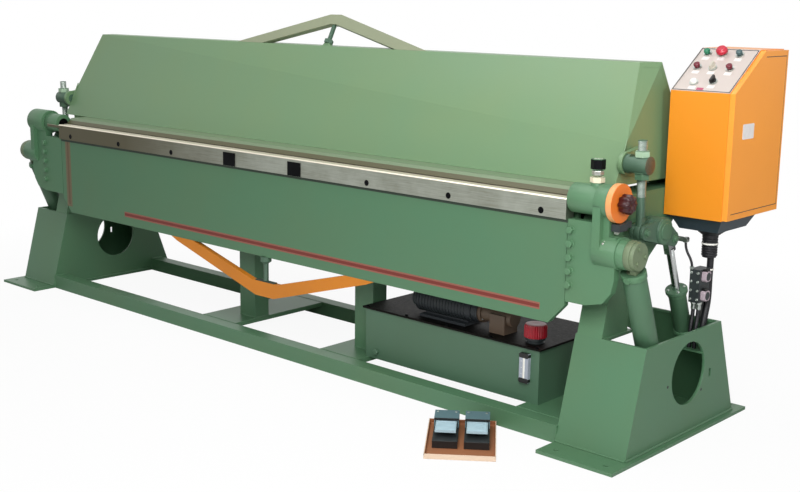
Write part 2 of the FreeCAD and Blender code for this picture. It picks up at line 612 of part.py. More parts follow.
def leaf_profile(inset):
    """The leaf's bent outline, front foot first, drawn in by an inset."""
    slant = "sqrt((face_top_back - face_foot_back)^2 + (face_top_up - face_foot_up)^2)"
    slope = "(face_top_back - face_foot_back) / (face_top_up - face_foot_up)"
    step = "(%s) * (%s) / (face_top_up - face_foot_up)" % (inset, slant)
    rear_slope = "(rear_foot_back - roof_back) / (face_top_up - rear_foot_up)"
    rear_step = "(%s) * sqrt(1 + (%s)^2)" % (inset, rear_slope)
    top = "face_top_up - (%s)" % inset
    return [("face_foot_back + (%s)" % step, "face_foot_up"),
            ("face_top_back + (%s) - (%s) * %s" % (step, inset, slope), top),
            ("roof_back - (%s) + (%s) * %s" % (rear_step, inset, rear_slope), top),
            ("rear_foot_back - (%s)" % rear_step, "rear_foot_up")]


leaf_x = ("-leaf_half_low", "leaf_half_low")
outer_profile = leaf_profile("0")
inner_profile = leaf_profile("leaf_skin")
shell_outline = outer_profile + list(reversed(inner_profile))
leaf_solid = prism("leaf_bent_plate", "YZ", shell_outline, leaf_x)
taper = [("-leaf_half_low", "rear_foot_up - 10"), ("leaf_half_low", "rear_foot_up - 10"),
         ("leaf_half_rear", "face_top_up + 10"), ("-leaf_half_rear", "face_top_up + 10")]
leaf_ends = prism("leaf_end_cut", "XZ", taper, ("face_foot_back - 20", "rear_foot_back + 20"))


def leaf_corner(side):
    """A block that takes off the upper corner of one end: its inner face runs through three points."""
    up = number("facet_low_up")
    share = (up - number("face_foot_up")) / (number("face_top_up") - number("face_foot_up"))
    low_x = number("leaf_half_low") + share * (number("leaf_half_rear") - number("leaf_half_low"))
    low_y = number("face_foot_back") + share * (number("face_top_back") - number("face_foot_back"))
    front = Vector(side * number("leaf_half_top"), number("face_top_back"), number("face_top_up"))
    rear = Vector(side * number("leaf_half_rear"), number("roof_back"), number("face_top_up"))
    low = Vector(side * low_x, low_y, up)
    outward = (rear - front).cross(low - front)
    if outward.x * side < 0:
        outward = outward.negative()
    reach = number("leaf_half_low") / 2
    block = doc.addObject("Part::Box", "leaf_corner")
    block.Length = block.Width = block.Height = reach
    block.Placement = (FreeCAD.Placement(front, FreeCAD.Rotation(ACROSS, outward))
                       * FreeCAD.Placement(Vector(0, -reach / 2, -reach / 2), FreeCAD.Rotation()))
    return block


leaf_corners = [leaf_corner(side) for side, name in SIDES]
node("leaf_plate", cut("leaf_trimmed", shared("leaf_tapered", leaf_solid, leaf_ends), *leaf_corners))

floor_front = "nose_tip + nose_bevel"
leaf_floor = box("leaf_floor", bed_x, ("face_foot_back - seat_gap", "rear_foot_back - 2 * leaf_skin"),
                 ("nose_up + nose_bevel - leaf_skin", "nose_up + nose_bevel"))
stays = []
rib_outline = inner_profile
for index in range(-2, 3):
    middle = "%d * inner_rib" % index
    stays.append(prism("leaf_inner_rib", "YZ", rib_outline, (middle + " - 5", middle + " + 5")))
for side, name in SIDES:
    end_block = prism("leaf_end_block_" + name, "YZ", rib_outline, span(side, "arm_out", "leaf_half_low"))
    end_tapered = shared("leaf_end_tapered_" + name, end_block, leaf_ends)
    end_whole = cut("leaf_end_whole_" + name, end_tapered, *leaf_corners)
    end_inside = group("leaf_end_inside_" + name, [end_whole], ("%d * end_plate_thick" % -side, "0", "0"))
    stays.append(cut("leaf_end_" + name, end_whole, end_inside))
    arm_x = span(side, "arm_out - arm_thick", "arm_out")
    arm = prism("leaf_arm_" + name, "YZ",
                [("pivot_back - arm_radius", "pivot_up"), ("pivot_back + arm_radius", "pivot_up"),
                 ("pivot_back + arm_radius * 0.7", "rear_foot_up + 30"),
                 ("pivot_back - arm_radius * 3", "rear_foot_up + 30"),
                 ("pivot_back - arm_radius * 3", "rear_foot_up - leaf_skin")], arm_x)
    eye = across("leaf_arm_eye_" + name, "arm_radius", arm_x, ("pivot_back", "pivot_up"))
    bore = across("leaf_arm_bore_" + name, "pivot_pin + fit_gap",
                  span(side, "arm_out - arm_thick - 1", "arm_out + 1"), ("pivot_back", "pivot_up"))
    stays.append(cut("leaf_arm_cut_" + name, fused("leaf_arm_whole_" + name, arm, eye), bore))
    face_line = "face_foot_back + leaf_skin * 1.2 + (trunnion_up - face_foot_up) / 2"
    lug = [("trunnion_back - 6", "trunnion_up - 37"), (face_line + " + 60", "trunnion_up - 50"),
           (face_line + " + 60", "trunnion_up + 50"), ("trunnion_back + 6", "trunnion_up + 37")]
    lug_x = span(side, "lug_face", "lug_face + lug_plate")
    lug_body = prism("leaf_lug_" + name, "YZ", lug, lug_x)
    lug_round = across("leaf_lug_round_" + name, "38", lug_x, ("trunnion_back", "trunnion_up"))
    lug_bridge = box("leaf_lug_bridge_" + name, span(side, "leaf_half_rear - end_plate_thick / 2", "lug_face"),
                     (face_line + " + 25", face_line + " + 60"), ("trunnion_up - 40", "trunnion_up + 40"))
    lug_bore = across("leaf_lug_bore_" + name, "shank_radius + fit_gap",
                      span(side, "lug_face - 1", "lug_face + lug_plate + 1"), ("trunnion_back", "trunnion_up"))
    stays.append(cut("leaf_lug_cut_" + name,
                     fused("leaf_lug_whole_" + name, lug_body, lug_round, lug_bridge), lug_bore))
node("leaf_brace", fused("leaf_brace_whole", leaf_floor, *stays))

nose_outline = [("nose_tip", "nose_up"), ("face_foot_back - 2 * seat_gap", "nose_up"),
                ("face_foot_back - 2 * seat_gap", "nose_up + nose_bevel"), (floor_front, "nose_up + nose_bevel")]
node("nose_bar", prism("nose_bar_solid", "YZ", nose_outline, bar_x))

brace_tilt = "atan2(face_top_back - face_foot_back; face_top_up - face_foot_up)"
brace_half = [("brace_half", "0"), ("brace_flat", "brace_high"), ("-brace_flat", "brace_high"),
              ("-brace_half", "0"), ("-brace_inner_half", "0"), ("-brace_inner_flat", "brace_inner_high"),
              ("brace_inner_flat", "brace_inner_high"), ("brace_inner_half", "0")]
brace_bar = prism("leaf_truss_bar", "XZ", brace_half, ("0", "brace_thick"))
brace_lift = "(brace_thick / 2 + truss_nut) * tan(%s)" % brace_tilt
brace_rod = rod("leaf_truss_rod", "truss_screw", ("0", "brace_thick / 2", brace_lift + " + truss_nut"),
                "brace_inner_high - truss_nut - " + brace_lift)
brace_nut = hexagon("leaf_truss_nut", "truss_nut", ("0", "brace_thick / 2", brace_lift), "truss_nut")
brace_place = (("gear_shift", "face_top_back", "face_top_up"), (ACROSS, "-(%s)" % brace_tilt))
roof_cut = box("leaf_truss_roof", ("gear_shift - 2 * brace_half", "gear_shift + 2 * brace_half"),
               ("face_top_back - 50", "roof_back + 50"), ("face_top_up - 50", "face_top_up"))
node("leaf_truss", cut("leaf_truss_cut", group("leaf_truss_bar_place", [brace_bar], *brace_place), roof_cut),
     group("leaf_truss_screw_place", [brace_rod, brace_nut], *brace_place))


# Clamp gear at each end

EYE = ("shaft_back - rocker_front", "shaft_up + rocker_rise")
KNEE = ("shaft_back + rocker_rear", "shaft_up - rocker_drop")


def rocker(side, name):
    """A bell crank of two cheeks on the torque shaft, with a pin at each arm."""
    pieces = [across("rocker_hub_" + name, "hub_radius", span(side, "gear_mid - hub_half", "gear_mid + hub_half"),
                     ("shaft_back", "shaft_up"))]
    for start in ("gear_mid - cheek_inner - cheek_thick", "gear_mid + cheek_inner"):
        reach = span(side, start, start + " + cheek_thick")
        for centre in (EYE, KNEE):
            pieces.append(across("rocker_end_" + name, "eye_radius", reach, centre))
        web = [(EYE[0], EYE[1] + " - eye_radius"), ("shaft_back", "shaft_up - hub_radius * 0.95"),
               (KNEE[0] + " - eye_radius * 0.35", KNEE[1] + " - eye_radius * 0.93"),
               (KNEE[0] + " + eye_radius * 0.35", KNEE[1] + " + eye_radius * 0.93"),
               ("shaft_back + hub_radius * 0.3", "shaft_up + hub_radius * 0.95"),
               (EYE[0], EYE[1] + " + eye_radius")]
        pieces.append(prism("rocker_web_" + name, "YZ", web, reach))
    reach = span(side, "gear_mid - cheek_inner - cheek_thick", "gear_mid + cheek_inner + cheek_thick")
    for centre in (EYE, KNEE):
        pieces.append(across("rocker_pin_" + name, "pin_radius", reach, centre))
    return pieces


shaft_pieces = [across("torque_shaft", "shaft_radius", ("-gear_mid", "gear_mid"), ("shaft_back", "shaft_up"))]
for side, name in SIDES:
    shaft_pieces += rocker(side, name)
node("clamp_shaft", fused("clamp_shaft_whole", *shaft_pieces))

SCREW_LEAN = "atan2((%s) - trunnion_back; trunnion_up - (%s))" % EYE
SCREW_LONG = "sqrt((trunnion_back - (%s))^2 + (trunnion_up - (%s))^2)" % EYE


def clamp_screw(side, name):
    """The threaded rod from the rocker up through its trunnion, with both nuts."""
    place = ("%d * gear_mid" % side,) + EYE
    turn = (ACROSS, SCREW_LEAN)
    rod_top = "screw_top - (%s)" % EYE[1]
    eye_disc = rod("screw_eye_" + name, "eye_radius", ("-eye_half", "0", "0"), "2 * eye_half", TO_X)
    eye_hole = rod("screw_eye_hole_" + name, "eye_hole", ("-eye_half - 1", "0", "0"), "2 * eye_half + 2", TO_X)
    stem = rod("screw_stem_" + name, "screw_radius_big", ("0", "0", "eye_hole + 2"), "(%s) - eye_hole - 2" % rod_top)
    flats = box("screw_flats_" + name, ("-2 * screw_radius_big", "-eye_half"),
                ("-eye_radius * 2", "eye_radius * 2"), ("0", "2 * eye_radius"))
    flats_2 = box("screw_flats_b_" + name, ("eye_half", "2 * screw_radius_big"),
                  ("-eye_radius * 2", "eye_radius * 2"), ("0", "2 * eye_radius"))
    bar = cut("screw_bar_" + name, fused("screw_bar_whole_" + name, eye_disc, stem), eye_hole, flats, flats_2)
    gap = "trunnion_radius * 0.8"
    nuts = []
    for start in ("(%s) + %s" % (SCREW_LONG, gap), "(%s) - %s - nut_thick" % (SCREW_LONG, gap)):
        solid = hexagon("screw_nut_" + name, "nut_radius", ("0", "0", start), "nut_thick")
        thread = rod("screw_nut_bore_" + name, "screw_radius_big", ("0", "0", start + " - 1"), "nut_thick + 2")
        nuts.append(cut("screw_nut_cut_" + name, solid, thread))
    block_x = span(side, "trunnion_inner - gear_mid", "trunnion_outer - gear_mid")
    block = rod("trunnion_block_" + name, "trunnion_radius", (block_x[0], "0", SCREW_LONG),
                "trunnion_outer - trunnion_inner", TO_X)
    flat_low = box("trunnion_flat_low_" + name, ("-40", "40"), ("-40", "40"),
                   ("(%s) - 2 * trunnion_radius" % SCREW_LONG, "(%s) - %s" % (SCREW_LONG, gap)))
    flat_high = box("trunnion_flat_high_" + name, ("-40", "40"), ("-40", "40"),
                    ("(%s) + %s" % (SCREW_LONG, gap), "(%s) + 2 * trunnion_radius" % SCREW_LONG))
    bore = rod("trunnion_bore_" + name, "screw_radius_big", ("0", "0", "(%s) - 50" % SCREW_LONG), "100")
    shank_x = span(side, "lug_face - gear_mid", "trunnion_inner - gear_mid")
    shank = rod("trunnion_shank_" + name, "shank_radius", (shank_x[0], "0", SCREW_LONG),
                "trunnion_inner - lug_face", TO_X)
    trunnion = fused("trunnion_" + name, cut("trunnion_cut_" + name, block, flat_low, flat_high, bore), shank)
    node("clamp_screw_" + name, group("clamp_screw_place_" + name, [bar] + nuts + [trunnion], place, turn))


CYLINDER_LEAN = "atan2(foot_back - (%s); (%s) - foot_up)" % KNEE
CYLINDER_LONG = "sqrt((foot_back - (%s))^2 + ((%s) - foot_up)^2)" % KNEE


def clamp_cylinder(side, name):
    """The short cylinder that turns the torque shaft: barrel on the leg, rod on the rocker."""
    place = ("%d * gear_mid" % side, "foot_back", "foot_up")
    turn = (ACROSS, CYLINDER_LEAN)
    eye_disc = rod("barrel_eye_" + name, "eye_radius", ("-eye_half", "0", "0"), "2 * eye_half", TO_X)
    eye_hole = rod("barrel_eye_hole_" + name, "pin_radius + fit_gap", ("-eye_half - 1", "0", "0"),
                   "2 * eye_half + 2", TO_X)
    neck = box("barrel_neck_" + name, ("-eye_half", "eye_half"), ("-eye_radius * 0.8", "eye_radius * 0.8"),
               ("eye_radius * 0.5", "eye_radius * 1.5"))
    base = "eye_radius * 1.4"
    skin = [("0", base), ("barrel_radius", base), ("barrel_radius", "barrel_top - 12"),
            ("barrel_radius + 8", "barrel_top - 12"), ("barrel_radius + 8", "barrel_top"),
            ("rod_radius + fit_gap", "barrel_top"), ("rod_radius + fit_gap", "barrel_top - 30"),
            ("barrel_bore", "barrel_top - 30"), ("barrel_bore", "(%s) + 12" % base), ("0", "(%s) + 12" % base)]
    shell = turned("barrel_shell_" + name, skin, ("0", "0", "0"))
    barrel = cut("barrel_cut_" + name, fused("barrel_whole_" + name, eye_disc, neck, shell), eye_hole)
    node("clamp_barrel_" + name, group("clamp_barrel_place_" + name, [barrel], place, turn))
    knee = CYLINDER_LONG
    rod_eye = rod("piston_eye_" + name, "eye_radius", ("-eye_half", "0", knee), "2 * eye_half", TO_X)
    rod_hole = rod("piston_eye_hole_" + name, "eye_hole", ("-eye_half - 1", "0", knee), "2 * eye_half + 2", TO_X)
    start = "(%s) + 40" % base
    stem = rod("piston_stem_" + name, "rod_radius", ("0", "0", start), "(%s) - (%s) - eye_hole - 2" % (knee, start))
    fork = box("piston_fork_" + name, ("-eye_half", "eye_half"), ("-eye_radius * 0.8", "eye_radius * 0.8"),
               ("(%s) - eye_radius * 2.2" % knee, "(%s) - eye_radius * 0.6" % knee))
    flats = []
    for low, high in (("-2 * rod_radius", "-eye_half"), ("eye_half", "2 * rod_radius")):
        flats.append(box("piston_flat_" + name, (low, high), ("-eye_radius * 2", "eye_radius * 2"),
                         ("(%s) - eye_radius * 1.7" % knee, "(%s) + eye_radius * 2" % knee)))
    head = rod("piston_head_" + name, "barrel_bore - 0.5", ("0", "0", start), "20")
    piston = cut("piston_cut_" + name, fused("piston_whole_" + name, rod_eye, stem, fork, head), rod_hole, *flats)
    node("clamp_piston_" + name, group("clamp_piston_place_" + name, [piston], place, turn))


def bend_cylinder(side, name):
    """The long cylinder that swings the apron: barrel on the leg, rod at the crank."""
    turn = (ACROSS, LEAN)
    eye_disc = rod("bend_eye_" + name, "foot_eye", ("-foot_eye_half", "0", "0"), "2 * foot_eye_half", TO_X)
    eye_hole = rod("bend_eye_hole_" + name, "pin_radius + fit_gap", ("-foot_eye_half - 1", "0", "0"),
                   "2 * foot_eye_half + 2", TO_X)
    base = "foot_eye + 14"
    top = "cylinder_short - cylinder_head"
    neck = box("bend_neck_" + name, ("-foot_eye_half", "foot_eye_half"), ("-foot_eye * 0.8", "foot_eye * 0.8"),
               ("foot_eye / 2", base + " + 2"))
    skin = [("0", base), ("cylinder_radius", base), ("cylinder_radius", top),
            ("cylinder_rod + fit_gap", top), ("cylinder_rod + fit_gap", top + " - gland_long"),
            ("cylinder_bore", top + " - gland_long"), ("cylinder_bore", base + " + 15"), ("0", base + " + 15")]
    shell = turned("bend_shell_" + name, skin, ("0", "0", "0"))
    barrel = cut("bend_barrel_cut_" + name, fused("bend_barrel_whole_" + name, eye_disc, neck, shell), eye_hole)
    place = ("%d * cylinder_mid" % side,) + BEND_FOOT
    node("bend_barrel_" + name, group("bend_barrel_place_" + name, [barrel], place, turn))
    crank = "cylinder_short"
    eye_x = span(side, "spacer_outer + 1 - cylinder_mid", "cap_edge - 1 - cylinder_mid")
    eye = rod("crank_eye_" + name, "spacer_radius", (eye_x[0], "0", crank),
              "cap_edge - spacer_outer - 2", TO_X)
    cap_x = span(side, "cap_edge - 1 - cylinder_mid", "cap_edge + cap_thick - cylinder_mid")
    cap = rod("crank_cap_" + name, "spacer_radius - 4", (cap_x[0], "0", crank), "cap_thick + 1", TO_X)
    strap = box("crank_strap_" + name, eye_x, ("-cylinder_rod", "cylinder_rod"), (top + " + seat_gap", crank))
    stem_top = crank + " - neck_start"
    stem = turned("bend_stem_" + name,
                  [("0", base + " + 18"), ("cylinder_rod", base + " + 18"), ("cylinder_rod", stem_top + " - stem_bevel"),
                   ("cylinder_rod - stem_bevel", stem_top), ("0", stem_top)], ("0", "0", "0"))
    head = rod("bend_head_" + name, "cylinder_bore - 0.5", ("0", "0", base + " + 18"), "25")
    pieces = [fused("bend_rod_whole_" + name, eye, cap, strap, stem, head)]
    screw_x = span(side, "cap_edge + cap_thick - cylinder_mid", "cap_edge + cap_thick + 5 - cylinder_mid")
    for index in range(3):
        angle = "(90 + %d * 120)" % index
        place_screw = (screw_x[0], "spacer_radius * 0.55 * cos(%s)" % angle,
                       crank + " + spacer_radius * 0.55 * sin(%s)" % angle)
        pieces.append(hexagon("cap_screw_" + name, "7", place_screw, "5", TO_X))
    node("bend_rod_" + name, group("bend_rod_place_" + name, pieces, place, turn))


for side, name in SIDES:
    clamp_screw(side, name)
    clamp_cylinder(side, name)
    bend_cylinder(side, name)


# Oil tank and pump set

tank_x = ("tank_left", "tank_right")
tank_y = ("tank_front", "tank_back")
tank_z = ("rail_side", "tank_top - lid_thick")
tank_outer = box("tank_outer", tank_x, tank_y, tank_z)
tank_inner = box("tank_inner", ("tank_left + tank_wall", "tank_right - tank_wall"),
                 ("tank_front + tank_wall", "tank_back - tank_wall"), ("rail_side + tank_wall", "tank_top"))
plug = rod("tank_plug", "9", ("tank_left + 60", "tank_front", "rail_side + 30"), "8", TO_MINUS_Y)
node("oil_tank", cut("tank_box", tank_outer, tank_inner), plug)
node("tank_lid", box("tank_lid_plate", ("tank_left - lid_edge", "tank_right + lid_edge"),
                     ("tank_front - lid_edge", "tank_back + lid_edge"), ("tank_top - lid_thick", "tank_top")))
motor_up = "tank_top + motor_radius + 14"
motor_outline = [("0", "0"), ("motor_radius * 0.75", "0"), ("motor_radius * 0.9", "18"), ("motor_radius", "24"),
                 ("motor_radius", "motor_long - 30"), ("motor_radius * 0.92", "motor_long - 30"),
                 ("motor_radius * 0.92", "motor_long"), ("0", "motor_long")]
motor_body = turned("motor_body", motor_outline, ("motor_left", "motor_back", motor_up), TO_X)
motor_box = box("motor_box", ("motor_left + 70", "motor_left + 150"), ("motor_back - 30", "motor_back + 30"),
                (motor_up, motor_up + " + motor_radius + 22"))
motor_foot = box("motor_foot", ("motor_left + 50", "motor_left + motor_long - 50"),
                 ("motor_back - motor_radius", "motor_back + motor_radius"), ("tank_top", "tank_top + 10"))
motor_web = box("motor_web", ("motor_left + 60", "motor_left + motor_long - 60"),
                ("motor_back - 20", "motor_back + 20"), ("tank_top + 5", motor_up))
pump_x = "motor_left + motor_long"
pump_flange = rod("pump_flange", "motor_radius * 0.85", (pump_x, "motor_back", motor_up), "14", TO_X)
pump_body = rod("pump_body", "pump_radius", (pump_x + " + 14", "motor_back", motor_up), "pump_long - 14", TO_X)
pump_block = box("pump_block", (pump_x + " + 60", pump_x + " + pump_long - 20"),
                 ("motor_back - 40", "motor_back + 40"), ("tank_top", motor_up + " + 10"))
node("pump_motor", fused("motor_whole", motor_body, motor_box, motor_foot, motor_web),
     fused("pump_whole", pump_flange, pump_body, pump_block))
cap_outline = [("0", "0"), ("neck_radius", "0"), ("neck_radius", "neck_high / 2"),
               ("cap_radius * 0.9", "neck_high / 2"), ("cap_radius * 0.9", "neck_high"), ("cap_radius", "neck_high"),
               ("cap_radius", "neck_high + cap_high * 0.85"), ("cap_radius * 0.9", "neck_high + cap_high"),
               ("0", "neck_high + cap_high")]
node("filler_cap", turned("filler_cap_body", cap_outline, ("cap_at", "cap_back", "tank_top")))
gauge_frame = box("gauge_frame", ("gauge_left", "gauge_right"), ("tank_front - gauge_thick", "tank_front"),
                  ("gauge_low", "gauge_high"))
gauge_slot = box("gauge_slot", ("gauge_left + 15", "gauge_right - 15"),
                 ("tank_front - gauge_thick - 1", "tank_front - gauge_thick / 2"), ("gauge_low + 14", "gauge_high - 14"))
node("level_gauge", cut("gauge_cut", gauge_frame, gauge_slot))


# Control box

def box_profile(inset):
    """The box's five-sided side view, drawn in by an inset."""
    ledge = "(%s) * (1 - sin(panel)) / cos(panel)" % inset
    corner = "(%s) * (1 - cos(panel)) / sin(panel)" % inset
    tilt = "atan2(box_high - box_front_high; box_ledge - box_front)"
    ledge = ledge.replace("panel", tilt)
    corner = corner.replace("panel", tilt)
    return [("box_front + (%s)" % inset, "box_low + (%s)" % inset),
            ("box_back - (%s)" % inset, "box_low + (%s)" % inset),
            ("box_back - (%s)" % inset, "box_high - (%s)" % inset),
            ("box_ledge + (%s)" % corner, "box_high - (%s)" % inset),
            ("box_front + (%s)" % inset, "box_front_high - (%s)" % ledge)]


PANEL = "atan2(box_high - box_front_high; box_ledge - box_front)"
box_x = ("box_in", "box_out")
shell = prism("box_shell", "YZ", box_profile("0"), box_x)
hollow = prism("box_hollow", "YZ", box_profile("box_wall"), ("box_in + box_wall", "box_out - box_wall"))
mouth = prism("box_mouth", "YZ", box_profile("box_rim"), ("box_out - box_wall - 1", "box_out + 1"))
PUSHED = (("column_1", "row_top"), ("column_2", "row_top"), ("column_3", "row_top"), ("column_1", "row_mid"),
          ("column_3", "row_mid"))


def on_panel(x, row, lift):
    """A place on the sloping panel: X, the distance up the slope and the height above it."""
    return (x, "box_front + (%s) * cos(%s) - (%s) * sin(%s)" % (row, PANEL, lift, PANEL),
            "box_front_high + (%s) * sin(%s) + (%s) * cos(%s)" % (row, PANEL, lift, PANEL))


TO_PANEL = (ACROSS, PANEL)
stem_holes = []
for x, row in PUSHED:
    stem_holes.append(rod("stem_hole", "stem_radius + seat_gap", on_panel(x, row, "-2 * box_wall"),
                          "3 * box_wall", TO_PANEL))
box_knuckles = []
door_knuckles = []
knuckle_at = ("(box_out + box_out + door_thick) / 2", "box_back + knuckle_out")
for foot in ("box_low + knuckle_edge", "box_high - knuckle_edge - 2 * knuckle_long"):
    head = foot + " + knuckle_long"
    box_knuckles.append(rod("box_knuckle", "knuckle_radius", knuckle_at + (foot,), "knuckle_long - seat_gap"))
    box_knuckles.append(box("box_knuckle_leaf", ("box_out - knuckle_in", knuckle_at[0]),
                            ("box_back", knuckle_at[1]), (foot, head + " - seat_gap")))
    door_knuckles.append(rod("door_knuckle", "knuckle_radius", knuckle_at + (head,), "knuckle_long"))
    door_knuckles.append(box("door_knuckle_leaf", (knuckle_at[0] + " + 1", knuckle_at[0] + " + 3"),
                             ("box_back - door_edge - 1", knuckle_at[1]), (head, head + " + knuckle_long")))
node("control_box", fused("box_whole", cut("box_cut", shell, hollow, mouth, *stem_holes), *box_knuckles))
door_x = ("box_out + door_gap", "box_out + door_thick")
door_shell = prism("door_shell", "YZ", box_profile("door_edge"), door_x)
door_hollow = prism("door_hollow", "YZ", box_profile("door_edge + door_skin"),
                    (door_x[0] + " - 1", door_x[1] + " - door_skin"))
node("control_door", fused("door_whole", cut("door_cut", door_shell, door_hollow), *door_knuckles))
pan_x = ("box_in + pan_edge", "box_out - pan_edge")
pan_y = ("box_front + pan_front", "box_back - pan_rear")
pan_low = "box_low - pan_high"


def pan_side(reach):
    """The pan under the box seen from one side: its two walls lean inward to the floor."""
    low, high = reach
    return [(low + " + pan_taper", pan_low), (high + " - pan_taper", pan_low), (high, "box_low"), (low, "box_low")]


def pan_inside(reach):
    return (reach[0] + " + pan_taper + pan_wall", reach[1] + " - pan_taper - pan_wall")


pan = shared("bracket_pan", prism("pan_along", "XZ", pan_side(pan_x), pan_y),
             prism("pan_across", "YZ", pan_side(pan_y), pan_x))
pan_room = box("pan_room", pan_inside(pan_x), pan_inside(pan_y), (pan_low + " + pan_wall", "box_low + 1"))
ear = box("bracket_ear", ("side_inner + side_thick", "box_in"), (pan_y[0], pan_y[1]),
          ("box_low - bracket_thick", "bed_high - 20"))
foot = box("bracket_foot", ("side_inner + side_thick", pan_x[0] + " + pan_wall"), (pan_y[0], pan_y[1]),
           ("box_low - bracket_thick", "box_low"))
node("control_bracket", fused("bracket_whole", cut("bracket_pan_hollow", pan, pan_room), ear, foot))


bezels = []
ring = [("stem_radius + seat_gap", "0"), ("bezel_radius", "0"), ("bezel_radius", "bezel_high"),
        ("stem_radius + seat_gap", "bezel_high")]


def control(label, x, row, head):
    """One control on the panel: its fixed ring, and the part that moves."""
    bezels.append(turned("ring_" + label, ring, on_panel(x, row, "0"), TO_PANEL))
    node(label, head(label, x, row))


def push_button(label, x, row):
    outline = [("0", "-stem_deep"), ("stem_radius", "-stem_deep"), ("stem_radius", "bezel_high + button_gap"),
               ("button_radius", "bezel_high + button_gap"), ("button_radius", "bezel_high + button_high - 2"),
               ("button_radius - 2", "bezel_high + button_high"), ("0", "bezel_high + button_high")]
    return turned("cap_" + label, outline, on_panel(x, row, "0"), TO_PANEL)


def stop_button(label, x, row):
    top = "bezel_high + stop_high"
    outline = [("0", "-stem_deep"), ("stem_radius", "-stem_deep"), ("stem_radius", "bezel_high + button_gap"),
               ("stop_radius", "bezel_high + button_gap + 2"), ("stop_radius", top + " - 8"),
               ("stop_radius * 0.7", top), ("0", top)]
    return turned("cap_" + label, outline, on_panel(x, row, "0"), TO_PANEL)


def selector(label, x, row):
    height = "bezel_high + seat_gap"
    stem = rod("stem_" + label, "stem_radius", ("0", "0", "seat_gap"), height)
    disc = rod("disc_" + label, "selector_radius", ("0", "0", height), "4")
    grip = box("grip_" + label, ("-3.5", "3.5"), ("-selector_radius - 3", "selector_radius + 3"),
               (height, "bezel_high + button_high + 2"))
    whole = fused("turn_" + label, stem, disc, grip)
    return group("place_" + label, [whole], on_panel(x, row, "0"), TO_PANEL)


control("button_green", "column_1", "row_top", push_button)
control("estop", "column_2", "row_top", stop_button)
control("button_grey", "column_3", "row_top", push_button)
control("button_red_1", "column_1", "row_mid", push_button)
control("selector_1", "column_2", "row_mid", selector)
control("button_red_2", "column_3", "row_mid", push_button)
control("selector_2", "selector_low_at", "row_low", selector)
lamp_outline = [("0", "0"), ("bezel_radius", "0"), ("bezel_radius", "bezel_high"),
                ("button_radius", "bezel_high"), ("button_radius", "bezel_high + 8"), ("0", "bezel_high + 12")]
bezels.append(turned("lamp_body", lamp_outline, on_panel("column_1 + 28", "row_low - 10", "0"), TO_PANEL))
node("control_panel", *bezels)


# Limit switch, valves and lines

switch_x = ("boss_outer + 3", "boss_outer + 33")
switch_low = "bed_high - dial_radius - 26"
switch_body = box("switch_body", switch_x, ("hinge_back - 25", "hinge_back + 25"),
                  (switch_low, "bed_high - dial_radius - 2"))
roller = across("switch_roller", "6", (switch_x[0], switch_x[0] + " + 10"), ("hinge_back", switch_low + " - 5"))
arm_y = ("hinge_back + hinge_room + 2", "hinge_back + hinge_room + 20")
switch_arm = box("switch_arm", ("side_inner + side_thick", switch_x[0] + " + 8"), arm_y,
                 (switch_low, "bed_high - dial_radius - 4"))
switch_plate = box("switch_plate", (switch_x[0], switch_x[0] + " + 8"), ("hinge_back", arm_y[1]),
                   (switch_low, "bed_high - dial_radius - 4"))
node("limit_switch", fused("switch_whole", switch_body, roller, switch_plate, switch_arm))

valve_body = box("valve_body", ("valve_in", "valve_out"), ("valve_front", "valve_back"), ("valve_low", "valve_high"))
valve_stand = box("valve_stand", ("valve_in", "valve_in + 14"), ("valve_back - 5", "leg_rear"),
                  ("leg_high", "valve_high - 20"))
solenoids = []
for height in ("valve_low + 25", "valve_high - 25"):
    solenoids.append(across("solenoid", "solenoid_radius", ("valve_out", "valve_out + solenoid_long"),
                            ("valve_front + 30", height)))
node("valve_block", fused("valve_whole", valve_body, valve_stand), *solenoids)


def bent_tube(name, points, radius, reach=0.45):
    """A round tube along straight runs joined by tangent arcs, with its radii printed."""
    edges = []
    radii = []
    start = points[0]
    for index in range(1, len(points) - 1):
        corner = points[index]
        before = points[index - 1] - corner
        after = points[index + 1] - corner
        shorter = min(before.Length, after.Length)
        turn = math.pi - before.getAngle(after)
        radius_here = reach * shorter / math.tan(turn / 2)
        before.normalize()
        after.normalize()
        trim = reach * shorter
        first = corner + before * trim
        last = corner + after * trim
        inward = before + after
        inward.normalize()
        middle = corner + inward * (radius_here / math.cos(turn / 2) - radius_here)
        edges.append(Part.LineSegment(start, first).toShape())
        edges.append(Part.Arc(first, middle, last).toShape())
        radii.append(radius_here)
        start = last
    edges.append(Part.LineSegment(start, points[-1]).toShape())
    path = Part.Wire(edges)
    section = Part.Wire(Part.makeCircle(radius, points[0], points[1] - points[0]))
    solid = path.makePipeShell([section], True, False)
    expected = math.pi * radius * radius * path.Length
    print(name, "length %.0f" % path.Length, "volume %.4f of section times length" % (solid.Volume / expected),
          "radii", ["%.0f" % value for value in radii])
    feature = doc.addObject("Part::Feature", name)
    feature.Shape = solid
    return feature


def line(name, points, radius):
    """A line whose ends and turns are given as formulas."""
    return bent_tube(name, [Vector(*[number(words) for words in point]) for point in points], number(radius))


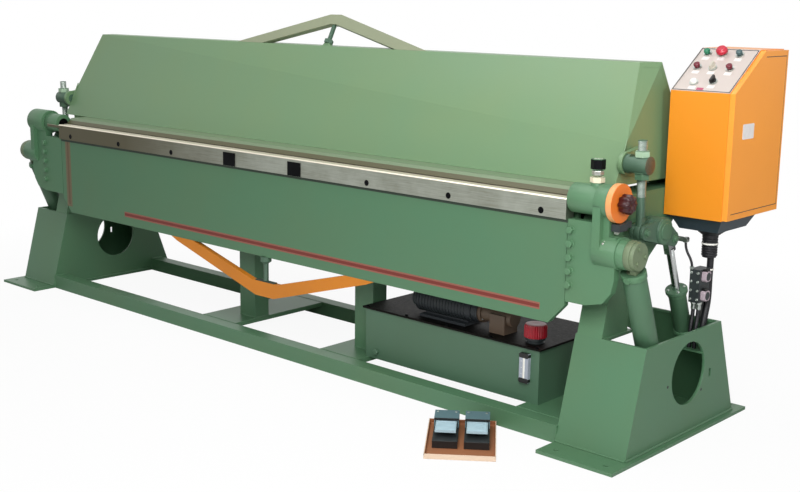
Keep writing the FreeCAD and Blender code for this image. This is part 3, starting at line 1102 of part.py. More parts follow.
valve_mid = "(valve_in + valve_out) / 2"
hoses = []
for index, reach in enumerate(("valve_in + 10", "valve_out - 10")):
    hoses.append(line("valve_hose_%d" % (index + 1),
                      [(reach, "valve_front + 22", "valve_low"),
                       (reach, "valve_front + 22", "valve_low - 45"),
                       (reach + " + 4", "valve_front", "valve_low - 105"),
                       (reach + " + 4", "valve_front", "line_shelf_up")], "hose_radius"))
supply_at = "valve_in + supply_radius"
hoses.append(line("supply_hose",
                  [(supply_at, "valve_front + supply_radius", "valve_high"),
                   (supply_at, "valve_front + supply_radius", "valve_high + 24"),
                   ("fitting_out - 2 * supply_radius", "fitting_back", "fitting_up - 34"),
                   ("fitting_out - 2 * supply_radius", "fitting_back", "fitting_up - 10")], "supply_radius"))
fitting = across("supply_fitting", "2 * supply_radius", ("side_inner + side_thick", "fitting_out - 2 * supply_radius"),
                 ("fitting_back", "fitting_up"))
elbow = box("supply_elbow", ("fitting_out - 4 * supply_radius", "fitting_out"),
            ("fitting_back - 2 * supply_radius", "fitting_back + 2 * supply_radius"),
            ("fitting_up - 10", "fitting_up + 2 * supply_radius"))
node("hoses", *hoses, fused("supply_port", fitting, elbow))
boot_low = pan_low + " - boot_high"
boot_outline = [("0", "0"), ("boot_end", "0"), ("boot_end", "boot_high / 4"), ("boot_radius", "boot_high"),
                ("0", "boot_high")]
boot = turned("conduit_boot", boot_outline, ("boot_at", "boot_back", boot_low))
conduit = line("conduit",
               [("boot_at + 2", "boot_back + 9", boot_low), ("boot_at + 2", "boot_back + 9", boot_low + " - 55"),
                ("boot_at - 1", "boot_back + 14", boot_low + " - 120"),
                ("boot_at - 1", "boot_back + 16", boot_low + " - 205"),
                ("boot_at", "boot_back - 4", boot_low + " - 262"),
                ("boot_at + 1", "boot_back - 18", boot_low + " - 312"),
                ("boot_at + 1", "boot_back - 18", "line_shelf_up")], "conduit_radius")
node("conduits", boot, conduit)


# Foot switches on their tray

TRAY = ("tray_mid", "tray_back", "0")
TRAY_TURN = (UP, "tray_turn")
tray_x = ("-tray_wide / 2", "tray_wide / 2")
tray_y = ("-tray_deep / 2", "tray_deep / 2")
tray_outer = box("tray_outer", tray_x, tray_y, ("0", "tray_rim"))
tray_inner = box("tray_inner", (tray_x[0] + " + tray_thick", tray_x[1] + " - tray_thick"),
                 (tray_y[0] + " + tray_thick", tray_y[1] + " - tray_thick"), ("tray_thick", "tray_rim + 1"))
node("pedal_tray", group("tray_place", [cut("tray_cut", tray_outer, tray_inner)], TRAY, TRAY_TURN))


def pedal_box(side):
    """A cast foot switch: a low box, and a hood over its rear half whose cheeks carry the treadle."""
    mid = "%d * pedal_step" % side
    low = "tray_thick"
    rear = "pedal_deep / 2 + pedal_shift"
    hood_front = rear + " - hood_deep"
    base = box("pedal_base", (mid + " - pedal_wide / 2", mid + " + pedal_wide / 2"),
               (rear + " - pedal_deep", rear), (low, low + " + pedal_high"))
    top = low + " + pedal_high"
    hood_side = [(hood_front, top), (rear, top), (rear, top + " + hood_high - hood_slope"),
                 (rear + " - hood_slope", top + " + hood_high"), (hood_front, top + " + hood_high")]
    hood = prism("pedal_hood", "YZ", hood_side, (mid + " - pedal_wide / 2", mid + " + pedal_wide / 2"))
    cheeks = (mid + " - pedal_wide / 2 + cheek_plate", mid + " + pedal_wide / 2 - cheek_plate")
    throat = box("pedal_throat", cheeks, (hood_front + " - 1", rear + " - 2 * hood_slope"),
                 (top, top + " + hood_high - cheek_plate"))
    gland = rod("pedal_gland", "7", (mid, rear + " + 12", low + " + pedal_high / 2"), "12", TO_MINUS_Y)
    return [fused("pedal_body", base, cut("pedal_hood_open", hood, throat)), gland]


node("foot_switches", group("switches_place", pedal_box(-1) + pedal_box(1), TRAY, TRAY_TURN))
for side, name in SIDES:
    mid = "%d * pedal_step" % side
    lift = "tray_thick + pedal_high + treadle_gap"
    rear = "pedal_deep / 2 + pedal_shift"
    pivot = rear + " - hood_deep + 20"
    flap = box("treadle_flap", (mid + " - treadle_wide / 2", mid + " + treadle_wide / 2"),
               (pivot + " - treadle_deep", pivot + " + 5"), (lift, lift + " + treadle_thick"))
    reach = "pedal_wide / 2 - cheek_plate - seat_gap"
    rib = rod("treadle_bar", "5", ("%s - (%s)" % (mid, reach), pivot, lift), "2 * (%s)" % reach, TO_X)
    node("treadle_" + name, group("treadle_place_" + name, [fused("treadle_whole_" + name, flap, rib)], TRAY,
                                  TRAY_TURN))


# Check every object, then write the sub-parts

doc.recompute()
for thing in doc.Objects:
    if "Invalid" in thing.State or "Error" in thing.State:
        raise RuntimeError("%s is in state %s" % (thing.Name, thing.State))
os.makedirs("parts", exist_ok=True)
for thing in doc.Objects:
    if thing.TypeId == "Part::MultiFuse":
        if thing.Shape.Volume < max(piece.Shape.Volume for piece in thing.Shapes) - 1:
            raise RuntimeError("%s has lost one of its pieces" % thing.Name)
for holder in nodes:
    shape = holder.Shape
    if shape.isNull() or not shape.isValid() or not shape.Solids:
        raise RuntimeError("%s has no valid shape" % holder.Label)
for holder in nodes:
    holder.Shape.exportStep("parts/%s.step" % holder.Label)
bounds = FreeCAD.BoundBox()
for holder in nodes:
    bounds.add(holder.Shape.BoundBox)
print(len(nodes), "sub-parts,", sum(len(holder.Shape.Solids) for holder in nodes), "solids")
print("bounds X %.1f %.1f Y %.1f %.1f Z %.1f %.1f" % (bounds.XMin, bounds.XMax, bounds.YMin, bounds.YMax,
                                                       bounds.ZMin, bounds.ZMax))
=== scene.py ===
# %% [markdown]
# A hydraulic sheet metal brake, dressed in Blender.
# The solids of the machine come from its CAD source and stay where they are. This lesson gives them
# their paint, steel, rubber and plastic, and adds the pieces that a plain solid lacks.

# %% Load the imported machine
import json
import math
import bmesh
import bpy
from mathutils import Matrix, Vector

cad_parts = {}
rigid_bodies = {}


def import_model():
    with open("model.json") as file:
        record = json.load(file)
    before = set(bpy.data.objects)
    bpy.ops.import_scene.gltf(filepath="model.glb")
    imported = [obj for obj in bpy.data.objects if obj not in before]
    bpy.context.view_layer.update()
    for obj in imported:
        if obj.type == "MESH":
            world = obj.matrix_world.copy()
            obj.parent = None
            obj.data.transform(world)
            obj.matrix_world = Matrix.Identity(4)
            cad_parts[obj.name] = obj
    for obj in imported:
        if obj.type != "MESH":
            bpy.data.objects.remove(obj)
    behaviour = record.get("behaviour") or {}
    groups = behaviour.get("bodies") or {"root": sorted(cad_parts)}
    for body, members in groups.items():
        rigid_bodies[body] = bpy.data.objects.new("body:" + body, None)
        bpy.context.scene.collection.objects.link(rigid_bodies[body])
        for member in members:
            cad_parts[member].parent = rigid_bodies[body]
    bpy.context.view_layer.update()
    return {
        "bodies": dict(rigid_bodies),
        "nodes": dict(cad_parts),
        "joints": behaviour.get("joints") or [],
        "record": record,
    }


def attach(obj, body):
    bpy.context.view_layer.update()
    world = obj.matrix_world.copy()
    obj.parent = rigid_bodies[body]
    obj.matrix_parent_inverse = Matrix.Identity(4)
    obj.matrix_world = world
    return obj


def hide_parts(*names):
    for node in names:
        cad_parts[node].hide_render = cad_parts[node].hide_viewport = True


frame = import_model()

nodes = frame["nodes"]

# %% [markdown]
# The drawing of the machine counts Y from the front face of the bending apron, in millimetres, and the
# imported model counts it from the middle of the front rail, in metres. One helper turns one into the
# other, so that every place in this lesson can be checked against the drawing.

# %% Places in millimetres
APRON_FACE = -37.5


def at(x, y, z):
    """A place on the drawing, in millimetres, as a point of the model in metres."""
    return Vector((x, y + APRON_FACE, z)) / 1000


# %% [markdown]
# The camera stands where the photographer stood: to the right of the machine, a little higher than its
# clamping leaf, looking slightly down. Its place was worked out from straight edges of known length.
# A constraint could aim it at the machine, but three angles say where it looks in plain numbers, and
# they keep the slight roll of the photograph.

# %% Camera
EYE_PLACE = Vector((3.7845, -3.2585, 1.4869))
YAW = 0.740
PITCH = 0.204
ROLL = -0.014

look = Vector((-math.sin(YAW) * math.cos(PITCH), math.cos(YAW) * math.cos(PITCH), -math.sin(PITCH)))
level = Vector((math.cos(YAW), math.sin(YAW), 0))
down = look.cross(level)
right = level * math.cos(ROLL) + down * math.sin(ROLL)
up = -(down * math.cos(ROLL) - level * math.sin(ROLL))
lens = bpy.data.cameras.new("camera")
lens.sensor_width = 36
lens.lens = 53.62
lens.clip_end = 60
camera = bpy.data.objects.new("camera", lens)
camera.matrix_world = Matrix((right, up, -look)).transposed().to_4x4()
camera.location = EYE_PLACE
bpy.context.scene.collection.objects.link(camera)
bpy.context.scene.camera = camera
bpy.context.scene.view_settings.view_transform = "Standard"

# %% [markdown]
# Four lines hang at the right end. Two thick hoses run from the valve block down into the leg, a thin
# one feeds the block from a fitting on the end casting, and a flexible conduit leaves the control box
# through a rubber boot. A mesh tube could stand for each, but a curve keeps the route and the thickness
# of a line apart, so its length can be measured. A NURBS spline of order 3 follows the route of the
# tube in the CAD source closely and without kinks.

# %% Hoses and conduit
VALVE_HOSE_THICK = 0.014
SUPPLY_HOSE_THICK = 0.009
CONDUIT_THICK = 0.024


def flexible_line(name, route, diameter, solid):
    """A round line along a route in metres, in place of a CAD solid."""
    curve = bpy.data.curves.new(name, "CURVE")
    curve.dimensions = "3D"
    curve.bevel_depth = diameter / 2
    curve.bevel_resolution = 5
    curve.use_fill_caps = True
    spline = curve.splines.new("NURBS")
    spline.points.add(len(route) - 1)
    for point, place in zip(spline.points, route):
        point.co = (*place, 1)
    spline.order_u = 3
    spline.use_endpoint_u = True
    spline.resolution_u = 10
    piece = bpy.data.objects.new(name, curve)
    bpy.context.scene.collection.objects.link(piece)
    bpy.context.view_layer.update()
    centre = bpy.data.objects.new(name + "_centre", curve.copy())
    centre.data.bevel_depth = 0
    walk = bpy.data.meshes.new_from_object(centre)
    bpy.data.objects.remove(centre)
    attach(piece, "base")
    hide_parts(solid)
    return piece


valve_hose_1 = flexible_line("valve_hose_1", [(1.782, 0.4895, 0.450), (1.782, 0.4895, 0.405),
                                              (1.786, 0.4675, 0.345), (1.786, 0.4675, 0.285)],
                             VALVE_HOSE_THICK, "hoses")
valve_hose_2 = flexible_line("valve_hose_2", [(1.802, 0.4895, 0.450), (1.802, 0.4895, 0.405),
                                              (1.806, 0.4675, 0.345), (1.806, 0.4675, 0.285)],
                             VALVE_HOSE_THICK, "hoses")
supply_hose = flexible_line("supply_hose", [(1.7765, 0.472, 0.570), (1.7765, 0.472, 0.594),
                                            (1.750, 0.4645, 0.638), (1.750, 0.4645, 0.662)],
                            SUPPLY_HOSE_THICK, "hoses")
conduit = flexible_line("conduit", [(1.804, 0.5515, 0.650), (1.804, 0.5515, 0.595),
                                    (1.801, 0.5565, 0.530), (1.801, 0.5585, 0.445),
                                    (1.802, 0.5385, 0.388), (1.803, 0.5245, 0.338),
                                    (1.803, 0.5245, 0.285)],
                        CONDUIT_THICK, "conduits")

# %% [markdown]
# Every finish is a small tree of nodes. Colours are written as the eye reads them, as sRGB hex values,
# and one function turns them into the linear values that the renderer works with.

# %% Colours and nodes


def tint(code):
    """A hex colour as the renderer wants it."""
    parts = [int(code[index:index + 2], 16) / 255 for index in (1, 3, 5)]
    linear = [part / 12.92 if part <= 0.04045 else ((part + 0.055) / 1.055) ** 2.4 for part in parts]
    return (*linear, 1)


def put(tree, kind, links=(), **settings):
    """Add one node, with its settings, and link or set its inputs."""
    node = tree.nodes.new(kind)
    for name, value in settings.items():
        setattr(node, name, value)
    for name, value in dict(links).items():
        if isinstance(value, bpy.types.NodeSocket):
            tree.links.new(value, node.inputs[name])
        else:
            node.inputs[name].default_value = value
    return node


def new_finish(name):
    """An empty material and the tree to build in."""
    finish = bpy.data.materials.new(name)
    finish.use_nodes = True
    finish.node_tree.nodes.clear()
    return finish, finish.node_tree


def show(tree, shader):
    """Send a shader to the material's output."""
    put(tree, "ShaderNodeOutputMaterial", {"Surface": shader.outputs[0]})


# %% [markdown]
# Some castings and plates carry two colours that meet on a straight line, such as the grey panel on the
# control box. A zone is a half of space, named by a direction and a distance along it in metres. The
# colour changes where the surface crosses into it, so no seam has to be cut in the mesh. Zones also
# paint light and shade: the light top of the bending bar is a painted highlight, and the darkening of
# its left end is painted shade. The last value is the width of the change: a hair for two colours that
# meet, and a metre for the painted shade along the bar.

# %% Two colours on one piece
CRISP = 0.0004


def zoned(tree, place, colour, zones):
    """Change a colour socket wherever the place lies past each zone's edge."""
    for direction, edge, code, width in zones:
        depth = put(tree, "ShaderNodeVectorMath", {0: place, 1: direction}, operation="DOT_PRODUCT")
        past = put(tree, "ShaderNodeMapRange", {"Value": depth.outputs["Value"],
                                                "From Min": edge - width / 2,
                                                "From Max": edge + width / 2})
        colour = put(tree, "ShaderNodeMix", {"Factor": past.outputs[0], 6: colour, 7: tint(code)},
                     data_type="RGBA").outputs[2]
    return colour


# %% [markdown]
# The machine is painted with machine enamel: an alkyd paint sprayed over filled steel. The eye sees a
# soft gloss with a faint orange peel, a colour that drifts a little over a metre, and small specks of
# grime. Castings have the same paint over sand-cast iron, so their skin is rougher and lumpier. Alkyd
# enamel has an IOR near 1.5. Its roughness is 0.3 to 0.45 where it is sound, and up to 0.6 where it is
# worn or lies in a joint. A picture of paint could be wrapped round each part, but noise that reads the
# place on the part needs no unwrapping, and it runs on over the edges without a seam.

# %% Enamel paint
ENAMEL_IOR = 1.5


def enamel(name, colour, worn, peel_mm=6.0, peel_deep=0.00004, roughness=0.38, drift=0.5, zones=()):
    """Sprayed enamel: a main colour, its dusty or worn shade, and the size of its orange peel."""
    finish, tree = new_finish(name)
    place = put(tree, "ShaderNodeTexCoord").outputs["Object"]
    broad = put(tree, "ShaderNodeTexNoise", {"Vector": place, "Scale": 2.2, "Detail": 3.0,
                                             "Roughness": 0.55})
    spread = put(tree, "ShaderNodeMapRange", {"Value": broad.outputs["Fac"], "From Min": 0.38,
                                              "From Max": 0.7, "To Min": 0.0, "To Max": drift})
    grime = put(tree, "ShaderNodeTexNoise", {"Vector": place, "Scale": 28.0, "Detail": 6.0,
                                             "Roughness": 0.65})
    specks = put(tree, "ShaderNodeMapRange", {"Value": grime.outputs["Fac"], "From Min": 0.55,
                                              "From Max": 0.8, "To Min": 0.0, "To Max": 0.35})
    amount = put(tree, "ShaderNodeMath", {0: spread.outputs[0], 1: specks.outputs[0]},
                 operation="MAXIMUM")
    paint = put(tree, "ShaderNodeMix", {"Factor": amount.outputs[0], 6: tint(colour), 7: tint(worn)},
                data_type="RGBA")
    coat = zoned(tree, place, paint.outputs[2], zones)
    gloss = put(tree, "ShaderNodeMapRange", {"Value": broad.outputs["Fac"], "To Min": roughness - 0.06,
                                             "To Max": roughness + 0.12})
    peel = put(tree, "ShaderNodeTexNoise", {"Vector": place, "Scale": 1000 / peel_mm, "Detail": 2.0})
    skin = put(tree, "ShaderNodeBump", {"Height": peel.outputs["Fac"], "Distance": peel_deep,
                                        "Strength": 1.0})
    shader = put(tree, "ShaderNodeBsdfPrincipled", {"Base Color": coat, "Roughness": gloss.outputs[0],
                                                    "Normal": skin.outputs[0], "IOR": ENAMEL_IOR})
    show(tree, shader)
    return finish


PANEL_TILT = math.radians(34.534)
panel_up = Vector((0, -math.sin(PANEL_TILT), math.cos(PANEL_TILT)))
panel_edge = panel_up.dot(at(0, 451, 1196)) - 0.0004
green_enamel = enamel("green machine enamel", "#517b5b", "#587755")
green_casting = enamel("green enamel on cast iron", "#527e5d", "#5c7a56", peel_mm=9.0, peel_deep=0.0003,
                       roughness=0.42)
# The leaf's green is a lighter, greyer copy of the machine green: painted sheen for the light its sloping
# face catches.
leaf_sheen_enamel = enamel("green enamel on the leaf with painted sheen", "#6d8e68", "#768e64")
# The dark brown band on the nose bar's front tip is the brown of its bare steel with painted shade over it.
nose_enamel = enamel("green enamel with painted shade on the lip", "#6f8566", "#748061",
                     zones=[((0, -1, 0), -0.0262, "#4a4829", CRISP)])
# The leaf truss is painted a paler, greyer green than the leaf.
leaf_truss_enamel = enamel("pale grey green enamel on the leaf truss", "#939b7e", "#8b9178")
tank_enamel = enamel("green enamel on the tank", "#4f725a", "#4e6a52")
cylinder_enamel = enamel("green enamel on the cylinders", "#4a6f53", "#506d55")
dark_casting = enamel("dark green enamel on the gear", "#456450", "#4f6553", peel_mm=9.0, peel_deep=0.0003,
                      roughness=0.45)
light_green = enamel("light green enamel on the nuts", "#a9c6a8", "#8fae92", roughness=0.35)
# The door on the box's right side gets a lighter copy of the box's orange: painted light for that side.
lit_door_orange_enamel = enamel("orange enamel lightened for the door", "#ffa43a", "#f49c3c", roughness=0.33)
box_enamel = enamel("orange enamel with a grey panel", "#ee9321", "#e48b26", roughness=0.33,
                    zones=[(panel_up, panel_edge, "#cbbfb8", CRISP)])
truss_enamel = enamel("worn orange enamel on the truss", "#da8316", "#b06c22", roughness=0.45)
dial_enamel = enamel("red orange enamel on the dial", "#f0802e", "#e27830", roughness=0.35)
# The rim's paler orange is partly a painted highlight along its top edge.
rim_enamel = enamel("pale orange enamel on the rim", "#e8a468", "#dc9556", roughness=0.4)
hub_enamel = enamel("olive worn enamel on the rod ends", "#6c7f61", "#74775b", peel_mm=9.0, peel_deep=0.0003,
                    roughness=0.45)
red_enamel = enamel("red line enamel", "#94594a", "#8a5b4b", roughness=0.45)
crimson_enamel = enamel("dark red line enamel", "#74281f", "#662a22", roughness=0.45)
brown_enamel = enamel("brown line enamel", "#70644a", "#696049", roughness=0.45)
rust_enamel = enamel("rust brown line enamel", "#63503a", "#5c4a35", roughness=0.5)
# This near-black green is painted shadow: the strip under the bending bar and the plate under the apron
# truss's screw.
painted_shadow_enamel = enamel("dark green painted shadow", "#2b3a2e", "#303c2f", roughness=0.6)
tray_enamel = enamel("tan enamel on the tray", "#a9683f", "#8a5f44", roughness=0.5, drift=0.7)
pale_enamel = enamel("pale worn edge of the tray", "#e3ccb5", "#cfae92", roughness=0.5)
dark_enamel = enamel("dark grey enamel", "#272e30", "#343a3a", roughness=0.45)
slate_enamel = enamel("slate blue enamel under the box", "#2c3a41", "#35434a", roughness=0.45)
cream_enamel = enamel("cream enamel", "#efe3c8", "#dcc9a6", roughness=0.35)
pump_enamel = enamel("tan pump and dark motor", "#23292d", "#30363a", roughness=0.5,
                     zones=[((1, 0, 0), 1.080, "#6e5c4c", CRISP)])
pedal_enamel = enamel("slate hood on a black switch", "#1c2022", "#262a2b", roughness=0.42,
                      zones=[((0, 0, 1), 0.031, "#5c7880", CRISP)])
tread_enamel = enamel("light blue enamel on the treadles", "#b7d0da", "#9cb6c0", roughness=0.35)
print("enamels:", len(bpy.data.materials))

# %% [markdown]
# The bending bar and the bed are ground tool steel: a surface grinder runs along them and leaves fine
# streaks in its own direction. Steel needs metallic 1 and the default IOR. Its roughness is 0.3 to 0.45
# when ground or plated, and up to 0.6 when it is stained or oily. Turned screws are brighter, at 0.25,
# and the hard chrome of the piston rods is polished to 0.12. The streaks are noise that is stretched
# along the bar. They are drawn 2 mm apart, coarser than real ones, so that they show.

# %% Bare metals


def bare_metal(name, colour, shade, roughness, stretch=(0.02, 1, 1), grain_mm=2.0, zones=()):
    """Machined metal with streaks along its length, and stains that darken it."""
    finish, tree = new_finish(name)
    place = put(tree, "ShaderNodeTexCoord").outputs["Object"]
    run = put(tree, "ShaderNodeMapping", {"Vector": place, "Scale": stretch})
    streaks = put(tree, "ShaderNodeTexNoise", {"Vector": run.outputs[0], "Scale": 1000 / grain_mm,
                                               "Detail": 3.0})
    stains = put(tree, "ShaderNodeTexNoise", {"Vector": place, "Scale": 9.0, "Detail": 5.0,
                                              "Roughness": 0.6})
    mixed = put(tree, "ShaderNodeMath", {0: streaks.outputs["Fac"], 1: stains.outputs["Fac"]},
                operation="MULTIPLY")
    amount = put(tree, "ShaderNodeMapRange", {"Value": mixed.outputs[0], "From Min": 0.14, "From Max": 0.4})
    metal = put(tree, "ShaderNodeMix", {"Factor": amount.outputs[0], 6: tint(colour), 7: tint(shade)},
                data_type="RGBA")
    polish = zoned(tree, place, metal.outputs[2], zones)
    gloss = put(tree, "ShaderNodeMapRange", {"Value": streaks.outputs["Fac"], "To Min": roughness - 0.08,
                                             "To Max": roughness + 0.1})
    skin = put(tree, "ShaderNodeBump", {"Height": streaks.outputs["Fac"], "Distance": 0.00005,
                                        "Strength": 0.6})
    shader = put(tree, "ShaderNodeBsdfPrincipled", {"Base Color": polish, "Roughness": gloss.outputs[0],
                                                    "Normal": skin.outputs[0], "Metallic": 1.0})
    show(tree, shader)
    return finish


# The bar's light top edge is a painted highlight, and its darker left end is painted shade.
bar_steel = bare_metal("ground steel of the bending bar", "#bfc4b8", "#9fa294", 0.42,
                       zones=[((-1, 0, 0), 0.4, "#716d5a", 1.0), ((0, 0, 1), 0.8502, "#e4dccb", CRISP)])
bed_steel = bare_metal("ground steel of the bed", "#8f8272", "#6c6052", 0.45)
black_steel = bare_metal("black oxide steel", "#1b1c1e", "#101112", 0.5, stretch=(1, 1, 1))
plated_steel = bare_metal("zinc plated steel", "#cdd3ce", "#a3aba6", 0.32, stretch=(1, 1, 1))
bright_steel = bare_metal("bright turned steel", "#e6e6df", "#c7c8c0", 0.25, stretch=(1, 1, 1))
hard_chrome = bare_metal("hard chrome", "#cfd3d2", "#b9bdbc", 0.12, stretch=(1, 1, 0.05))
lid_steel = bare_metal("oily steel of the lid", "#242220", "#141311", 0.6, stretch=(1, 1, 1), grain_mm=8)
tan_steel = bare_metal("brown stained turned steel", "#7d7763", "#5c5a4b", 0.5, stretch=(1, 1, 1))
print("with metals:", len(bpy.data.materials))

# %% [markdown]
# Buttons, hoses and seals are moulded: plastics with an IOR near 1.5, an even colour and a roughness
# of 0.2 to 0.4, and rubber that is rougher. Moulding leaves hardly any pattern, only a very slight
# cloudiness and the fine grain of the mould. One function makes them all, because they differ only in
# colour and gloss.

# %% Plastics and rubber
PLASTIC_IOR = 1.5


def moulded(name, colour, roughness, cloud=0.12, grain_mm=3.0, grain_deep=0.00003):
    """Moulded plastic or rubber with a faint cloudiness and a fine grain."""
    finish, tree = new_finish(name)
    place = put(tree, "ShaderNodeTexCoord").outputs["Object"]
    haze = put(tree, "ShaderNodeTexNoise", {"Vector": place, "Scale": 60.0, "Detail": 3.0})
    level = put(tree, "ShaderNodeMapRange", {"Value": haze.outputs["Fac"], "To Min": 1 - cloud,
                                             "To Max": 1 + cloud})
    shade = put(tree, "ShaderNodeMix", {"Factor": 1.0, 6: tint(colour), 7: level.outputs[0]},
                data_type="RGBA", blend_type="MULTIPLY")
    grain = put(tree, "ShaderNodeTexNoise", {"Vector": place, "Scale": 1000 / grain_mm, "Detail": 2.0})
    skin = put(tree, "ShaderNodeBump", {"Height": grain.outputs["Fac"], "Distance": grain_deep,
                                        "Strength": 1.0})
    shader = put(tree, "ShaderNodeBsdfPrincipled", {"Base Color": shade.outputs[2],
                                                    "Roughness": roughness,
                                                    "Normal": skin.outputs[0], "IOR": PLASTIC_IOR})
    show(tree, shader)
    return finish


green_plastic = moulded("green button plastic", "#0f7a55", 0.25)
grey_plastic = moulded("dark grey button plastic", "#3f5a5c", 0.3)
maroon_plastic = moulded("dark red button plastic", "#6d1226", 0.25)
stop_plastic = moulded("red stop button plastic", "#c2263c", 0.25)
black_plastic = moulded("black plastic", "#151515", 0.35)
pale_plastic = moulded("pale plastic", "#c9c3b4", 0.4)
white_plastic = moulded("white lens plastic", "#f3f1ea", 0.2)
legend_plastic = moulded("white legend plastic", "#e9e4e2", 0.35)
pink_plastic = moulded("red strip plastic", "#b5496a", 0.35)
coil_plastic = moulded("pale grey coil plastic", "#b9a9b2", 0.4)
knob_plastic = moulded("dark maroon phenolic", "#35090f", 0.3)
cap_plastic = moulded("red cap plastic", "#b01228", 0.3)
hose_rubber = moulded("black hose rubber", "#15151a", 0.5)
gauge_plastic = moulded("clear gauge plastic over white", "#aab0bd", 0.2)
for line in (valve_hose_1, valve_hose_2, supply_hose, conduit):
    line.data.materials.append(hose_rubber)
print("finishes in all:", len(bpy.data.materials))

# %% [markdown]
# Each CAD solid now gets its finish. A small bevel, as a modifier, rounds the edges that a solid
# leaves razor sharp, because a real edge always catches a thin line of light.

# %% Dress the CAD solids
FINISHES = (
    (green_enamel, "leg_left leg_right front_rail rear_rail cross_members posts bed_beam apron_plate"),
    (leaf_sheen_enamel, "leaf_plate leaf_brace"),
    (leaf_truss_enamel, "leaf_truss"),
    (nose_enamel, "nose_bar"),
    (green_casting, "end_housing_left end_housing_right apron_casting_left apron_casting_right "
                    "casting_bolts"),
    (hub_enamel, "bend_rod_left bend_rod_right"),
    (dark_casting, "clamp_shaft clamp_screw_left clamp_screw_right"),
    (cylinder_enamel, "bend_barrel_left bend_barrel_right clamp_barrel_left clamp_barrel_right"),
    (tank_enamel, "oil_tank"),
    (truss_enamel, "apron_truss"),
    (lit_door_orange_enamel, "control_door"),
    (dial_enamel, "angle_cam"),
    (box_enamel, "control_box"),
    (tray_enamel, "pedal_tray"),
    (slate_enamel, "control_bracket"),
    (dark_enamel, "limit_switch valve_block"),
    (pedal_enamel, "foot_switches"),
    (bar_steel, "apron_bar"),
    (bed_steel, "bed_bar"),
    (black_steel, "bar_screws hinge_pins"),
    (plated_steel, "control_panel"),
    (tread_enamel, "treadle_left treadle_right"),
    (hard_chrome, "clamp_piston_left clamp_piston_right"),
    (lid_steel, "tank_lid"),
    (pump_enamel, "pump_motor"),
    (green_plastic, "button_green"),
    (grey_plastic, "button_grey"),
    (maroon_plastic, "button_red_1 button_red_2"),
    (stop_plastic, "estop"),
    (black_plastic, "selector_2"),
    (pale_plastic, "selector_1"),
    (knob_plastic, "angle_knob"),
    (cap_plastic, "filler_cap"),
    (hose_rubber, "hoses conduits"),
    (gauge_plastic, "level_gauge"),
)


def dress(part, finish, bevel_mm=1.2):
    """Give one CAD solid its finish and soft edges."""
    solid = nodes[part]
    solid.data.materials.clear()
    solid.data.materials.append(finish)
    weld = solid.modifiers.new("join the faces", "WELD")
    weld.merge_threshold = 0.00001
    edge = solid.modifiers.new("soft edges", "BEVEL")
    edge.width = bevel_mm / 1000
    edge.segments = 2
    edge.limit_method = "ANGLE"
    edge.angle_limit = math.radians(35)
    edge.harden_normals = True


for finish, names in FINISHES:
    for part in names.split():
        dress(part, finish)
print("dressed", sum(len(names.split()) for finish, names in FINISHES), "solids")

# %% [markdown]
# The detail pieces are built from three simple forms in mesh code. A turned form revolves a profile of
# radius and height, as a lathe does. A slab gives an outline some thickness. A bead is a weld: a round
# run whose radius ripples, because a welder moves on one step at a time.

# %% Turned forms, slabs and beads
TO_BACK = Vector((0, 1, 0))
TO_FRONT = Vector((0, -1, 0))
TO_RIGHT = Vector((1, 0, 0))
TO_TOP = Vector((0, 0, 1))
TO_FLOOR = Vector((0, 0, -1))
FRONT = (Vector((0, 0, 0)), TO_RIGHT, TO_TOP, TO_BACK)
SIDE = (Vector((0, 0, 0)), TO_BACK, TO_TOP, TO_RIGHT)


def settle(name, shape, finish, body, soft_mm=0.5):
    """Make a finished shape a piece of the machine that moves with a body."""
    bmesh.ops.recalc_face_normals(shape, faces=shape.faces)
    mesh = bpy.data.meshes.new(name)
    shape.to_mesh(mesh)
    shape.free()
    mesh.materials.append(finish)
    mesh.shade_smooth()
    mesh.set_sharp_from_angle(angle=math.radians(40))
    piece = bpy.data.objects.new(name, mesh)
    bpy.context.scene.collection.objects.link(piece)
    if soft_mm:
        edge = piece.modifiers.new("soft edges", "BEVEL")
        edge.width = soft_mm / 1000
        edge.segments = 2
        edge.limit_method = "ANGLE"
        edge.angle_limit = math.radians(35)
    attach(piece, body)
    return piece


def lathe(shape, profile, place, axis, steps=32, spin=0.0, loop=False, lobes=0, lobe_deep=0.0):
    """Revolve a profile of radius and height, in millimetres, about an axis through a place."""
    aim = TO_TOP.rotation_difference(Vector(axis).normalized()).to_matrix()
    rings = []
    for radius, height in profile:
        ring = []
        for index in range(steps if radius > 0 else 1):
            angle = spin + 2 * math.pi * index / steps
            here = radius * (1 - lobe_deep * (0.5 - 0.5 * math.cos(lobes * angle)))
            spot = Vector((here * math.cos(angle), here * math.sin(angle), height)) / 1000
            ring.append(shape.verts.new(at(*place) + aim @ spot))
        rings.append(ring)
    if loop:
        rings.append(rings[0])
    for low, high in zip(rings, rings[1:]):
        for index in range(steps):
            after = index + 1
            corners = [low[index % len(low)], low[after % len(low)],
                       high[after % len(high)], high[index % len(high)]]
            shape.faces.new(dict.fromkeys(corners))


def slab(shape, outline, low, high, frame=FRONT):
    """Give an outline thickness between two places along its frame's third axis."""
    origin, across, along, out = frame
    layers = []
    for depth in (low, high):
        layers.append([shape.verts.new(at(*(origin + across * a + along * b + out * depth)))
                       for a, b in outline])
    shape.faces.new(layers[0])
    shape.faces.new(reversed(layers[1]))
    count = len(outline)
    for index in range(count):
        after = (index + 1) % count
        shape.faces.new((layers[0][index], layers[0][after], layers[1][after], layers[1][index]))


def plate(shape, a, b, low, high, frame=FRONT, corner=0.0):
    """A rectangular slab between two pairs of edges, with clipped corners if wanted."""
    (left, right), (foot, head) = a, b
    if corner:
        outline = [(left + corner, foot), (right - corner, foot), (right, foot + corner),
                   (right, head - corner), (right - corner, head), (left + corner, head),
                   (left, head - corner), (left, foot + corner)]
    else:
        outline = [(left, foot), (right, foot), (right, head), (left, head)]
    slab(shape, outline, low, high, frame)


